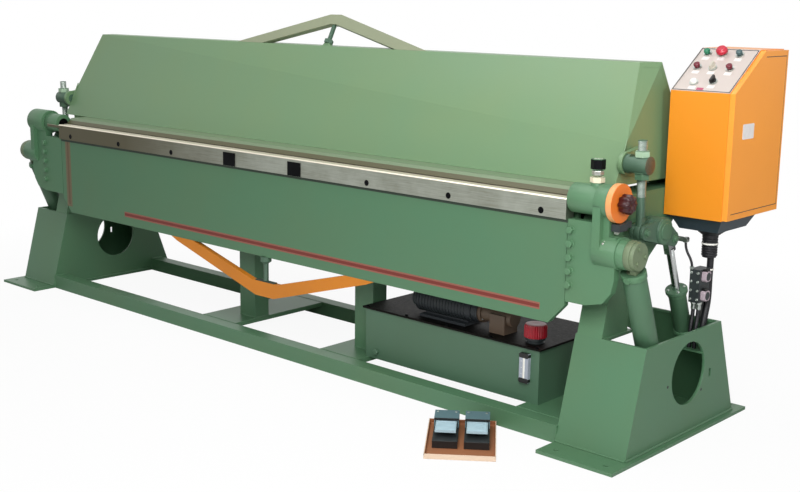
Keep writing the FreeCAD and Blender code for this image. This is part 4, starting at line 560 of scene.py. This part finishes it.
def bead(shape, start, end, radius=4.0, ripple_mm=14.0):
    """A weld bead from one place to another, in millimetres, with its ripples."""
    start, end = Vector(start), Vector(end)
    run = end - start
    count = max(2, round(run.length / ripple_mm)) * 2
    profile = [(0, 0)]
    for index in range(count + 1):
        swell = 1.0 if index % 2 else 0.84
        profile.append((radius * swell, run.length * index / count))
    profile.append((0, run.length))
    lathe(shape, profile, start, run, steps=8)


print("forms ready")

# %% [markdown]
# The apron's front is the face of the machine. A red line with a dark core runs along it, and a brown
# one with a darker core comes down its left end. A dark strip under the bending bar, which black socket
# screws hold, is painted shadow. The end castings are bolted on over plain washers. The lines could be
# zones in the paint, but a plate that stands out by less than a millimetre has an end as well as two edges.

# %% Lines, washers and screws on the apron
MIDDLE = 57
PLATE_FRONT = 12
LOWEST_BOLT = 564
BOLT_PITCH = 46.5
SCREW_PITCH = 406.4
LINES = {"pinstripe": ((-943, 1481), (458, 482), 11.6, red_enamel),
         "pinstripe_core": ((-941, 1479), (464, 476), 11.3, crimson_enamel),
         "brown_line": ((-1434, -1390), (449, 772), 11.6, brown_enamel),
         "brown_line_core": ((-1419, -1405), (460, 772), 11.3, rust_enamel),
         "bar_joint": ((-1467, 1581), (772, 784), 11.2, painted_shadow_enamel)}
for name, (across_mm, heights, face, finish) in LINES.items():
    shape = bmesh.new()
    plate(shape, across_mm, heights, face, PLATE_FRONT + 0.1)
    settle(name, shape, finish, "apron", soft_mm=0.1)
shape = bmesh.new()
for across_mm in (-1621, 1596):
    for step in range(5):
        spot = (across_mm, PLATE_FRONT, LOWEST_BOLT + step * BOLT_PITCH)
        lathe(shape, [(0, 0), (16, 0), (16, 1.8), (15, 2.6), (0, 2.6)], spot, TO_FRONT, steps=24)
        lathe(shape, [(0, 2), (11.5, 2), (13, 3.2), (13, 13), (11.5, 14.6), (0, 15)], spot, TO_FRONT,
              steps=6)
bolts = settle("casting_bolt_heads", shape, green_casting, "apron")
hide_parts("casting_bolts")
shape = bmesh.new()
for step in (0, 1, 2, 5, 6, 7):
    middle = MIDDLE + (step - 3.5) * SCREW_PITCH
    lathe(shape, [(0, -1.5), (11.5, -1.5), (11.5, 0.4), (9.5, 1.0), (6, 1.0), (5, 0.2), (0, 0.2)],
          (middle, 0, 803), TO_FRONT, steps=24)
settle("bar_screw_heads", shape, black_steel, "apron", soft_mm=0.1)
shape = bmesh.new()
lathe(shape, [(0, -1), (8, -1), (8, 5), (5, 6.5), (3.4, 8), (3.4, 11), (4.6, 12.5), (3.6, 15), (0, 16)],
      (1729, PLATE_FRONT, 725), TO_FRONT, steps=18)
settle("grease_nipple", shape, bright_steel, "apron", soft_mm=0.2)
print("apron details: 10 bolts, 6 screws and a grease nipple")

# %% [markdown]
# The angle dial is an orange cam with a paler rim, and the operator sets it with a phenolic knob that
# has eight finger hollows. They could be cut out with booleans, but it is simpler to let the turned
# profile's radius swell and shrink with the angle. Below the cam a roller switch feels it. The rim's
# paler orange is partly a painted highlight along its top edge.

# %% Dial, knob and switch
DIAL_AXIS = (45, 855)
ROLLER = (1745, 45, 760)
shape = bmesh.new()
lathe(shape, [(60, 1.2), (64.5, 1.2), (64.5, 20.8), (60, 20.8)], (1742.3, *DIAL_AXIS), TO_RIGHT,
      steps=64, loop=True)
settle("dial_rim", shape, rim_enamel, "dial", soft_mm=0.3)
shape = bmesh.new()
lathe(shape, [(0, 0), (26, 0), (31, 3), (33, 8), (33, 33), (31, 38), (27, 40.5), (14, 41), (12, 39.5),
              (0, 39)], (1764.3, *DIAL_AXIS), TO_RIGHT, steps=96, lobes=8, lobe_deep=0.14)
knob = settle("dial_knob", shape, knob_plastic, "dial", soft_mm=0)
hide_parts("angle_knob")
shape = bmesh.new()
lathe(shape, [(0, -1.5), (7, -1.5), (8.5, 0), (8.5, 10), (7, 11.5), (0, 11.5)], ROLLER, TO_RIGHT,
      steps=24)
lathe(shape, [(0, 0), (4, 0), (4, 14), (0, 14)], ROLLER, TO_RIGHT, steps=16)
plate(shape, (41, 49), (756, 768), 1757, 1759, SIDE, corner=2)
settle("switch_roller", shape, white_plastic, "base", soft_mm=0.3)
print("dial, knob and switch made")

# %% [markdown]
# A jacking bolt stands on the right end housing, over the apron's hinge, and sets the gap for thick
# sheet. Its nut is painted cream, the lock nut is bright, and the head is blackened. A profile revolved
# in only six steps is a hexagon, so each of them is a turned form too.

# %% Adjusting bolt
HEX_TURN = math.radians(30)
bolt_at = (1668, 45, 0)
shape = bmesh.new()
lathe(shape, [(13, 911.6), (22, 911.6), (24.6, 914), (24.6, 930), (22, 932.4), (13, 932.4)], bolt_at,
      TO_TOP, steps=6, spin=HEX_TURN, loop=True)
settle("adjuster_nut", shape, cream_enamel, "base")
shape = bmesh.new()
lathe(shape, [(13, 936.6), (18, 936.6), (20.1, 938.5), (20.1, 951.5), (18, 953.4), (13, 953.4)],
      bolt_at, TO_TOP, steps=6, spin=HEX_TURN, loop=True)
lathe(shape, [(0, 990.5), (17, 990.5), (16, 992), (0, 992.4)], bolt_at, TO_TOP, steps=24)
settle("adjuster_lock_nut", shape, bright_steel, "base")
shape = bmesh.new()
lathe(shape, [(0, 955.6), (22, 955.6), (24.6, 958), (24.6, 988.5), (21, 991.4), (0, 991.4)], bolt_at,
      TO_TOP, steps=6, spin=HEX_TURN)
settle("adjuster_head", shape, black_steel, "base")


def thread(shape, radius, low, high, place, axis, pitch_mm=4.0):
    """The ridges of a screw thread, drawn as rings that are coarser than the real ones, to show."""
    rings = [(radius - 1.2, low)]
    count = int((high - low) / pitch_mm)
    for index in range(count):
        start = low + index * pitch_mm
        rings += [(radius + 0.9, start + pitch_mm * 0.4), (radius - 0.6, start + pitch_mm * 0.95)]
    rings.append((radius - 1.2, high))
    lathe(shape, rings + [(radius - 3, high), (radius - 3, low)], place, axis, steps=24, loop=True)


shape = bmesh.new()
thread(shape, 12, 932, 956, bolt_at, TO_TOP)
settle("adjuster_thread", shape, bright_steel, "base", soft_mm=0)
print("adjusting bolt made")

# %% [markdown]
# Two trusses keep the long parts straight: a bent flat bar with a screw at its middle that pushes
# against the part. The one on the leaf has sides of one width, so its inner edge runs beside its outer
# edge. Its screw stands in a fork. The screw of the apron's truss is dark green, with a collar on top.
# The bar could be bent from a strip, but as one outline of eight corners its faces stay flat. It is
# drawn in the frame of the leaf's slope, whose second axis points up along the leaf.

# %% Trusses and their screws
LEAF_TILT = math.atan2(368 - 165, 1288 - 883)
LEAF_TOP = (Vector((MIDDLE, 368, 1288)), TO_RIGHT,
            Vector((0, math.sin(LEAF_TILT), math.cos(LEAF_TILT))),
            Vector((0, math.cos(LEAF_TILT), -math.sin(LEAF_TILT))))
TRUSS_THICK = 25
shape = bmesh.new()
slab(shape, [(583, 0), (33, 148), (-33, 148), (-583, 0), (-410, 0), (-18, 102), (18, 102), (410, 0)], 0,
     TRUSS_THICK, LEAF_TOP)
truss_bar = settle("leaf_truss_bar", shape, leaf_truss_enamel, "leaf", soft_mm=1.2)
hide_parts("leaf_truss")
screw_foot = tuple(LEAF_TOP[0] + LEAF_TOP[3] * TRUSS_THICK / 2)
shape = bmesh.new()
thread(shape, 9.5, 34, 102, screw_foot, LEAF_TOP[2], pitch_mm=6)
lathe(shape, [(0, 15.8), (18, 15.8), (20, 17.6), (20, 33), (18, 34.8), (0, 34.8)], screw_foot,
      LEAF_TOP[2], steps=6)
lathe(shape, [(0, 34), (8.6, 34), (8.6, 103), (0, 103)], screw_foot, LEAF_TOP[2], steps=24)
settle("leaf_truss_screw", shape, dark_casting, "leaf", soft_mm=0.3)
shape = bmesh.new()
slab(shape, [(-25, -4), (25, -4), (15, 17), (-15, 17)], 3, 22, LEAF_TOP)
settle("leaf_truss_fork", shape, leaf_sheen_enamel, "leaf", soft_mm=1.0)
apron_screw = (MIDDLE, 24.5, 0)
shape = bmesh.new()
thread(shape, 10.8, 312, 397, apron_screw, TO_TOP, pitch_mm=6)
lathe(shape, [(10.5, 390), (15, 391.5), (23.4, 397.5), (23.4, 418), (10.5, 418)], apron_screw, TO_TOP,
      loop=True)
settle("apron_truss_screw", shape, dark_casting, "apron", soft_mm=0.4)
# The foot plate is a real plate, but its dark green is painted shade.
shape = bmesh.new()
plate(shape, (MIDDLE - 60, MIDDLE + 60), (13, 36), 308.8, 312.6,
      (Vector((0, 0, 0)), TO_RIGHT, TO_BACK, TO_TOP), corner=3)
settle("truss_foot_plate", shape, painted_shadow_enamel, "apron", soft_mm=0.4)
print("two truss screws made")

# %% [markdown]
# At each end a long threaded rod hangs in a swivelling trunnion and pulls the clamping leaf down. The
# rod's nuts set the clamping pressure. The upper ones are painted a lighter green than the trunnion.
# The pins of the bell crank end in flat heads. The nuts and threads are turned about the line of the
# rod itself, which leans a little, so no piece has to be tilted afterwards.

# %% Clamp gear
ROD_FOOT = (214, 735)
TRUNNION = (205, 962)
KNEE_PIN = (401, 690)
SHAFT_AXIS = (324, 727)
rod_line = (0, TRUNNION[0] - ROD_FOOT[0], TRUNNION[1] - ROD_FOOT[1])
for side, name in ((-1, "left"), (1, "right")):
    foot = (1735 * side, *ROD_FOOT)
    outward = TO_RIGHT * side
    body = "clamp_screw_%s_body" % name
    shape = bmesh.new()
    lathe(shape, [(15.4, 252.8), (24, 252.8), (26.6, 255), (26.6, 273), (24, 275.6), (15.4, 275.6)],
          foot, rod_line, steps=6, loop=True)
    settle("rod_nut_upper_" + name, shape, light_green, body)
    shape = bmesh.new()
    lathe(shape, [(15.4, 178.8), (24, 178.8), (26.6, 181), (26.6, 199), (24, 201.6), (15.4, 201.6)],
          foot, rod_line, steps=6, loop=True)
    lathe(shape, [(15.4, 201.4), (29, 201.4), (29, 204), (15.4, 204)], foot, rod_line, steps=28,
          loop=True)
    settle("rod_nut_lower_" + name, shape, cylinder_enamel, body)
    shape = bmesh.new()
    thread(shape, 15, 276, 308, foot, rod_line)
    thread(shape, 15, 120, 178, foot, rod_line)
    settle("rod_thread_" + name, shape, plated_steel, body, soft_mm=0)
    shape = bmesh.new()
    lathe(shape, [(0, 0), (31, 0), (31, 0.8), (28, 2.2), (0, 2.6)], (1765 * side, *TRUNNION), outward,
          steps=36)
    settle("trunnion_end_" + name, shape, tan_steel, body, soft_mm=0.2)
    shape = bmesh.new()
    for pin in (ROD_FOOT, KNEE_PIN):
        lathe(shape, [(0, -1), (17, -1), (17, 2.5), (10.5, 3), (10.5, 9), (9, 10.5), (0, 10.5)],
              (1762 * side, *pin), outward, steps=28)
    shaft_end = (1768 * side, *SHAFT_AXIS)
    lathe(shape, [(30, -1), (44, -1), (44, 1.5), (42, 2.5), (30, 2.5)], shaft_end, outward, steps=40,
          loop=True)
    lathe(shape, [(0, -1), (29.5, -1), (29.5, 3), (27, 5), (0, 5)], shaft_end, outward, steps=40)
    settle("pin_heads_" + name, shape, cylinder_enamel, "torque_shaft")
print("clamp gear details on both ends")

# %% [markdown]
# A hydraulic cylinder is a seamless tube between two end caps. The caps are a little wider than the
# tube and the joint between them reads as a dark ring. The bend cylinders also have two port bosses
# each, and the clamp cylinders four flange bolts. A profile that closes on itself turns into a ring
# with a hole, so a cap fits round its tube and nothing has to be cut.

# %% Cylinder caps and ports
BEND_FOOT = (236.34, 230.06)
CLAMP_FOOT = (565, 290)
bend_line = (0, -math.sin(math.radians(22.5)), math.cos(math.radians(22.5)))
clamp_line = (0, 401 - 565, 690 - 290)


def along(place, line, distance, aside=0.0):
    """A place some way along a line from its foot, and aside from it within the YZ plane."""
    line = Vector(line).normalized()
    beside = Vector((0, -line.z, line.y))
    return tuple(Vector(place) + line * distance + beside * aside)


for side, name in ((-1, "left"), (1, "right")):
    bend_foot = (1805 * side, *BEND_FOOT)
    clamp_foot = (1735 * side, *CLAMP_FOOT)
    shape = bmesh.new()
    for low, high in ((40, 58), (414, 437.6)):
        lathe(shape, [(39, low), (42, low), (42.6, low + 1), (42.6, high - 1), (42, high), (39, high)],
              bend_foot, bend_line, steps=48, loop=True)
    for height in (50, 426):
        boss = along(bend_foot, bend_line, height, 38)
        lathe(shape, [(0, 0), (13, 0), (13, 8), (0, 8)], boss,
              Vector((0, -bend_line[2], bend_line[1])), steps=6)
    settle("bend_cylinder_caps_" + name, shape, green_casting, "base")
    shape = bmesh.new()
    for low, high in ((37, 52), (196, 208.6)):
        lathe(shape, [(30, low), (33.5, low), (34, low + 1), (34, high - 1), (33.5, high), (30, high)],
              clamp_foot, clamp_line, steps=40, loop=True)
    body = "clamp_barrel_%s_body" % name
    settle("clamp_cylinder_caps_" + name, shape, green_casting, body)
    shape = bmesh.new()
    for turn in range(4):
        angle = math.radians(45 + 90 * turn)
        start = along(clamp_foot, clamp_line, 221, 29 * math.sin(angle))
        start = (start[0] + 29 * math.cos(angle), start[1], start[2])
        lathe(shape, [(0, -0.5), (5.5, -0.5), (5.5, 3.5), (4.5, 4.5), (0, 4.5)], start, clamp_line, steps=6)
    settle("clamp_flange_bolts_" + name, shape, plated_steel, body, soft_mm=0.2)
print("caps on four cylinders")

# %% [markdown]
# The valve block carries two solenoid valves: pale coils with dark plugs. Crimped ferrules hold the
# hoses, a steel elbow feeds the thin hose, and a ribbed rubber boot closes the box's cable opening. The
# folds and ribs of the boot could be a displaced tube, but loops that write its profile are exact.

# %% Valves, fittings and boot
shape = bmesh.new()
for low in (457, 527):
    plate(shape, (517, 553), (low, low + 36), 1811.5, 1829.6, SIDE, corner=6)
settle("solenoid_coils", shape, coil_plastic, "base", soft_mm=1.0)
shape = bmesh.new()
for low in (493.5, 563.5):
    plate(shape, (523, 545), (low, low + 9), 1813, 1827, SIDE, corner=2)
plate(shape, (507, 573), (508.5, 511.5), 1771.5, 1812.5, SIDE)
settle("solenoid_plugs", shape, black_plastic, "base", soft_mm=0.6)
shape = bmesh.new()
for across_mm in (1779, 1805):
    for height in (462, 494, 526, 558):
        lathe(shape, [(0, -1), (5, -1), (5, 3), (4, 4), (2.6, 4), (2.6, 2), (0, 2)],
              (across_mm, 505, height), TO_FRONT, steps=18)
settle("valve_screws", shape, plated_steel, "base", soft_mm=0.2)
elbow = (1682, 502, 672)
shape = bmesh.new()
for across_mm in (1782, 1802):
    port = (across_mm, 527, 450)
    lathe(shape, [(7.2, -1), (11.5, -1), (11.5, 8), (7.2, 8)], port, TO_FLOOR, steps=6, loop=True)
    lathe(shape, [(7.2, 7), (9.4, 7), (9.4, 12), (8.8, 14), (9.4, 16), (8.8, 18), (9.4, 20), (9.0, 28),
                  (7.2, 28)], port, TO_FLOOR, steps=24, loop=True)
lathe(shape, [(0, -1), (13, -1), (13, 9), (9, 10), (9, 56), (0, 56)], elbow, TO_RIGHT, steps=6)
lathe(shape, [(0, 0), (6, 0), (9, 2), (9, 60), (0, 60)], elbow, TO_RIGHT, steps=28)
plate(shape, (1740.5, 1759), (662.5, 681), 493, 511, corner=4)
lathe(shape, [(4.6, 0), (8.6, 0), (8.6, 9), (4.6, 9)], (1750, 502, 672), TO_FLOOR, steps=6, loop=True)
lathe(shape, [(4.7, -1), (9, -1), (9, 8), (4.7, 8)], (1776.5, 509.5, 570), TO_TOP, steps=6, loop=True)
fittings = settle("hose_fittings", shape, plated_steel, "base", soft_mm=0.3)
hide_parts("hoses")
shape = bmesh.new()
folds = [(0, 0), (59, 0)]
for fold in range(4):
    reach = 59 - fold * 8
    folds += [(reach, fold * 6 + 2), (reach - 6, fold * 6 + 4.5)]
for rib in range(8):
    start = 29 + rib * 9
    folds += [(28, start), (28, start + 5), (25.5, start + 6.5), (25.5, start + 8)]
folds += [(24, 104), (12.5, 104), (12.5, 60), (0, 60)]
lathe(shape, folds, (1802, 580, 710), TO_FLOOR, steps=48)
boot = settle("cable_boot", shape, hose_rubber, "base", soft_mm=0.8)
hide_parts("conduits")
shape = bmesh.new()
for hold, spot in ((27.6, (1802, 580, 656)), (11.8, (1802.6, 591.5, 560))):
    lathe(shape, [(hold, -3), (hold + 1.8, -3), (hold + 2.1, 0), (hold + 1.8, 3), (hold, 3)], spot,
          TO_TOP, steps=36, loop=True)
settle("cable_ties", shape, white_plastic, "base", soft_mm=0.2)
print("valves, fittings and boot made")

# %% [markdown]
# The oil tank stands between the rails. Its lid is screwed down, a sight gauge with black end blocks
# shows the level, and the red filler cap has grip ribs, made like the hollows of the knob. The motor is
# a cast housing. An array modifier could repeat its fins, but a loop puts them into one mesh.

# %% Tank, gauge, cap and motor
LID_TOP = 276
MOTOR_AXIS = (215, 338)
FIN_PITCH = 15
shape = bmesh.new()
for across_mm in (556, 765, 975, 1185, 1394):
    for depth in (129, 521):
        spot = (across_mm, depth, LID_TOP)
        lathe(shape, [(0, -1), (10, -1), (10, 1.5), (0, 1.5)], spot, TO_TOP, steps=20)
        lathe(shape, [(0, 1), (7, 1), (7, 5.2), (5.5, 6), (0, 6)], spot, TO_TOP, steps=6)
settle("lid_bolts", shape, black_steel, "base", soft_mm=0.3)
shape = bmesh.new()
lathe(shape, [(0, -1), (13, -1), (13, 5), (11, 6.5), (0, 6.5)], (605, 124, 95), TO_FRONT, steps=6)
settle("drain_plug_head", shape, tank_enamel, "base", soft_mm=0.3)
shape = bmesh.new()
plate(shape, (1327, 1369), (233, 251), 112.8, 129, corner=4)
plate(shape, (1327, 1369), (140, 158), 112.8, 129, corner=4)
settle("gauge_blocks", shape, black_plastic, "base", soft_mm=0.8)
shape = bmesh.new()
lathe(shape, [(0, 0), (7, 0), (7, 79), (0, 79)], (1348, 120, 156), TO_TOP, steps=28)
for height in (172, 196, 220):
    plate(shape, (1336, 1341), (height, height + 1.5), 113.4, 114.5)
settle("gauge_tube", shape, white_plastic, "base", soft_mm=0.2)
filler = (1340, 192, LID_TOP)
shape = bmesh.new()
lathe(shape, [(0, 19), (37, 19), (41.5, 21), (42, 24), (42, 60), (38, 68.5), (30, 70), (16, 69),
              (0, 68.4)], filler, TO_TOP, steps=120, lobes=30, lobe_deep=0.05)
cap = settle("filler_cap_top", shape, cap_plastic, "base", soft_mm=0)
shape = bmesh.new()
lathe(shape, [(0, 0), (34, 0), (34, 3), (30, 4), (30, 10), (37.5, 11), (37.5, 20), (0, 20)], filler,
      TO_TOP, steps=40)
neck = settle("filler_neck", shape, dark_enamel, "base", soft_mm=0.4)
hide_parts("filler_cap")
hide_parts("filler_cap")
shape = bmesh.new()
for fin in range(17):
    start = 776 + fin * FIN_PITCH
    lathe(shape, [(40, 0), (50.5, 0.6), (50.5, 3.4), (40, 4)], (start, *MOTOR_AXIS), TO_RIGHT, steps=48,
          loop=True)
lathe(shape, [(0, -1), (30, -1), (36, 1), (36, 4), (0, 4)], (749, *MOTOR_AXIS), TO_RIGHT, steps=40)
settle("motor_fins", shape, dark_enamel, "base", soft_mm=0.3)
shape = bmesh.new()
for across_mm in (828, 892):
    for depth in (191, 239):
        lathe(shape, [(0, -1), (4, -1), (4, 2), (3, 2.8), (0, 2.8)], (across_mm, depth, 408), TO_TOP,
              steps=16)
for turn in range(4):
    angle = math.radians(45 + 90 * turn)
    spot = (1094, MOTOR_AXIS[0] + 33 * math.cos(angle), MOTOR_AXIS[1] + 33 * math.sin(angle))
    lathe(shape, [(0, -1), (5, -1), (5, 4), (0, 4)], spot, TO_RIGHT, steps=6)
settle("motor_screws", shape, plated_steel, "base", soft_mm=0.2)
print("tank set made")

# %% [markdown]
# The control panel is a grey plate framed by a dark gasket. Every control has a small blank legend
# plate under it, and the lamp has a white lens. The side door shows its folded seams as dark lines. The
# panel slopes, so its small plates are drawn in its own frame, where each is a plain slab.

# %% Control box
DOOR_FACE = 1924.5
PANEL = (Vector((0, 451, 1196)), TO_RIGHT,
         Vector((0, math.cos(PANEL_TILT), math.sin(PANEL_TILT))), panel_up)
CONTROLS = {"green": (1722, 210), "stop": (1780, 210), "grey": (1844, 210), "red_1": (1722, 130),
            "selector_1": (1780, 130), "red_2": (1844, 130), "selector_2": (1817, 55),
            "lamp": (1750, 45)}
shape = bmesh.new()
for a, b in (((1686, 1903), (3, 6)), ((1686, 1903), (238, 241)),
             ((1686, 1689), (3, 241)), ((1900, 1903), (3, 241))):
    plate(shape, a, b, -0.4, 0.9, PANEL)
settle("panel_gasket", shape, dark_enamel, "base", soft_mm=0.2)
shape = bmesh.new()
for place in CONTROLS.values():
    across_mm, row = place
    plate(shape, (across_mm - 9, across_mm + 17), (row - 34, row - 18), -0.3, 0.9, PANEL, corner=1.5)
settle("legend_plates", shape, legend_plastic, "base", soft_mm=0.2)
shape = bmesh.new()
plate(shape, (1775, 1800), (8, 20), -0.3, 0.9, PANEL, corner=1)
settle("red_strip", shape, pink_plastic, "base", soft_mm=0.2)
lamp_across, lamp_row = CONTROLS["lamp"]
lamp_place = tuple(PANEL[0] + PANEL[1] * lamp_across + PANEL[2] * lamp_row)
shape = bmesh.new()
lathe(shape, [(0, 4), (11.4, 4), (11.4, 12), (10, 14.5), (6, 16.6), (0, 17.2)], lamp_place, panel_up,
      steps=32)
settle("lamp_lens", shape, white_plastic, "base", soft_mm=0)
shape = bmesh.new()
for a, b in (((476, 818), (784.5, 787.5)), ((660, 818), (1310, 1313)), ((816, 818), (784.5, 1313))):
    plate(shape, a, b, DOOR_FACE, DOOR_FACE + 0.7, SIDE)
settle("door_seams", shape, rust_enamel, "door", soft_mm=0.1)
shape = bmesh.new()
plate(shape, (522, 604), (1038, 1090), DOOR_FACE, DOOR_FACE + 1.1, SIDE, corner=3)
settle("door_plate", shape, legend_plastic, "door", soft_mm=0.3)
print("legend plates:", len(CONTROLS))

# %% [markdown]
# The frame is welded from tube and plate. The welds weren't ground down, so the legs have a bead round
# their feet, and so do the rails, the posts and the cross members. A bump in the paint could hint at
# them, but a bead is also seen in outline and casts its own thin shadow.

# %% Welds on the frame
shape = bmesh.new()
for side in (-1, 1):
    near, far = 1577 * side, 1856 * side
    for start, end in (((near, -3, 14), (far, -3, 14)), ((far, -3, 14), (far, 732, 14)),
                       ((near, 732, 14), (far, 732, 14)), ((near, -3, 14), (near, 732, 14))):
        bead(shape, start, end, 5.0)
    for depth in (5, 610):
        bead(shape, (near - 2 * side, depth, 4), (near - 2 * side, depth, 65), 4.0)
        bead(shape, (near - 2 * side, depth + 65, 14), (near - 2 * side, depth + 65, 65), 4.0)
        bead(shape, (near - 2 * side, depth, 65), (near - 2 * side, depth + 65, 65), 4.0)
for middle in (-268, 469):
    for height in (66, 519):
        for depth in (195, 275):
            bead(shape, (middle - 52, depth, height), (middle + 52, depth, height), 3.0)
        for edge in (middle - 52, middle + 52):
            bead(shape, (edge, 195, height), (edge, 275, height), 3.0)
for middle in (-323, 450, 1465):
    for depth in (71, 609):
        bead(shape, (middle - 110, depth, 64), (middle + 110, depth, 64), 3.0)
settle("frame_welds", shape, green_enamel, "base", soft_mm=0)
shape = bmesh.new()
for side in (-1, 1):
    for depth, height in ((247, 212), (484, 148)):
        lathe(shape, [(0, -1), (5.5, -1), (5.5, 0.4), (0, 0.4)], (1856 * side, depth, height),
              TO_RIGHT * side, steps=20)
settle("leg_plugs", shape, black_plastic, "base", soft_mm=0.1)
shape = bmesh.new()
bead(shape, (-1578, 164, 884), (1578, 164, 884), 4.0, ripple_mm=18.0)
for side in (-1, 1):
    bead(shape, (1655 * side, *TRUNNION), (1652 * side, 240, 1040), 3.0)
settle("leaf_welds", shape, leaf_sheen_enamel, "leaf", soft_mm=0)
print("welds laid")

# %% [markdown]
# The two foot switches stand on a shallow tray. Their treadles have raised ribs against slipping, and
# the tray's front and side edges are worn pale by boots. The tray is turned to face the operator. Its
# pieces could be drawn straight and turned afterwards, but a frame of the tray's own, like the panel's,
# lets the same slabs be used and leaves every piece unturned.

# %% Foot switches
tray_turn = math.radians(37.9)
TRAY = (Vector((1331, -208, 0)), Vector((math.cos(tray_turn), math.sin(tray_turn), 0)),
        Vector((-math.sin(tray_turn), math.cos(tray_turn), 0)), TO_TOP)
for middle, name in ((-54, "left"), (54, "right")):
    shape = bmesh.new()
    for rib in range(7):
        start = -34 + rib * 12.5
        plate(shape, (middle - 33, middle + 33), (start, start + 5.5), 53.5, 56.2, TRAY, corner=1)
    settle("treadle_ribs_" + name, shape, tread_enamel, "treadle_%s_body" % name, soft_mm=0.8)
shape = bmesh.new()
for middle in (-54, 54):
    for aside in (-32, 32):
        spot = TRAY[0] + TRAY[1] * (middle + aside) + TRAY[2] * 118
        lathe(shape, [(0, 63), (5, 63), (5, 65.4), (3.5, 66.4), (0, 66.4)], tuple(spot), TO_TOP, steps=18)
settle("hood_screws", shape, plated_steel, "base", soft_mm=0.2)
shape = bmesh.new()
for middle in (-54, 54):
    plate(shape, (middle - 43, middle + 43), (50.8, 53), 57.5, 64.3, TRAY)
    plate(shape, (middle - 43, middle + 43), (-81.5, -79.5), 5, 30, TRAY)
settle("hood_lips", shape, black_plastic, "base", soft_mm=0.5)
shape = bmesh.new()
plate(shape, (-119.9, 119.9), (-172.6, -170), 0.4, 18.4, TRAY)
plate(shape, (-119.9, -117), (-172.6, 172.3), 13, 18.4, TRAY)
plate(shape, (117, 119.9), (-172.6, 172.3), 13, 18.4, TRAY)
settle("tray_edges", shape, pale_enamel, "base", soft_mm=0.6)
print("foot switches made")

# %% [markdown]
# The studio is a white floor under a white sky. To the camera the floor glows, and only a little of
# the machine's soft shadow is left on it. Away from the machine it turns into plain white, so no
# horizon shows. A large soft lamp stands above and in front of the right end, near the camera, which
# is why the left end is darker. A second one hangs over the middle, and a small one lights the
# control box. A brighter world would do without lamps, but it would leave no light and dark sides.

# %% Studio
SKY_LEVEL = 0.2
WHITE_NEAR = 0.93
world = bpy.data.worlds.new("studio")
world.use_nodes = True
bpy.context.scene.world = world
sky = world.node_tree
sky.nodes.clear()
rays = put(sky, "ShaderNodeLightPath")
seen = put(sky, "ShaderNodeMath", {0: rays.outputs["Is Camera Ray"], 1: rays.outputs["Is Glossy Ray"]},
           operation="MAXIMUM")
seen = put(sky, "ShaderNodeMath", {0: seen.outputs[0], 1: rays.outputs["Is Transmission Ray"]},
           operation="MAXIMUM")
level = put(sky, "ShaderNodeMapRange", {"Value": seen.outputs[0], "To Min": SKY_LEVEL, "To Max": 1.0})
backdrop = put(sky, "ShaderNodeBackground", {"Color": (1, 1, 1, 1), "Strength": level.outputs[0]})
put(sky, "ShaderNodeOutputWorld", {"Surface": backdrop.outputs[0]})

bpy.ops.mesh.primitive_plane_add(size=60, location=(0, 0, 0))
floor = bpy.context.object
floor.name = "floor"
paper, tree = new_finish("white studio floor")
matt = put(tree, "ShaderNodeBsdfDiffuse", {"Color": tint("#f4f4f4")})
glow = put(tree, "ShaderNodeEmission", {"Color": (1, 1, 1, 1), "Strength": 1.0})
rays = put(tree, "ShaderNodeLightPath")
place = put(tree, "ShaderNodeTexCoord").outputs["Object"]
reach = put(tree, "ShaderNodeVectorMath", {0: place}, operation="LENGTH")
fade = put(tree, "ShaderNodeMapRange", {"Value": reach.outputs["Value"], "From Min": 1.5,
                                        "From Max": 3.4, "To Min": WHITE_NEAR, "To Max": 1.0})
share = put(tree, "ShaderNodeMath", {0: rays.outputs["Is Camera Ray"], 1: fade.outputs[0]},
            operation="MULTIPLY")
both = put(tree, "ShaderNodeMixShader", {0: share.outputs[0], 1: matt.outputs[0], 2: glow.outputs[0]})
show(tree, both)
floor.data.materials.append(paper)


def soft_lamp(name, place, aim, size, power, spread=180):
    """A square lamp that shines from one place towards another. A grid narrows its spread."""
    lamp = bpy.data.lights.new(name, "AREA")
    lamp.size = size
    lamp.energy = power
    lamp.spread = math.radians(spread)
    stand = bpy.data.objects.new(name, lamp)
    stand.location = place
    stand.rotation_euler = (Vector(aim) - Vector(place)).to_track_quat("-Z", "Y").to_euler()
    bpy.context.scene.collection.objects.link(stand)


soft_lamp("main lamp", (2.9, -2.5, 2.5), (0.9, 0, 0.6), 2.0, 114)
soft_lamp("top lamp", (-0.1, -0.5, 4.4), (0, 0.3, 0.8), 3.0, 74)
soft_lamp("box lamp", (4.3, -0.4, 1.9), (1.9, 0.6, 1.15), 0.9, 2.2, spread=50)
print("studio ready")
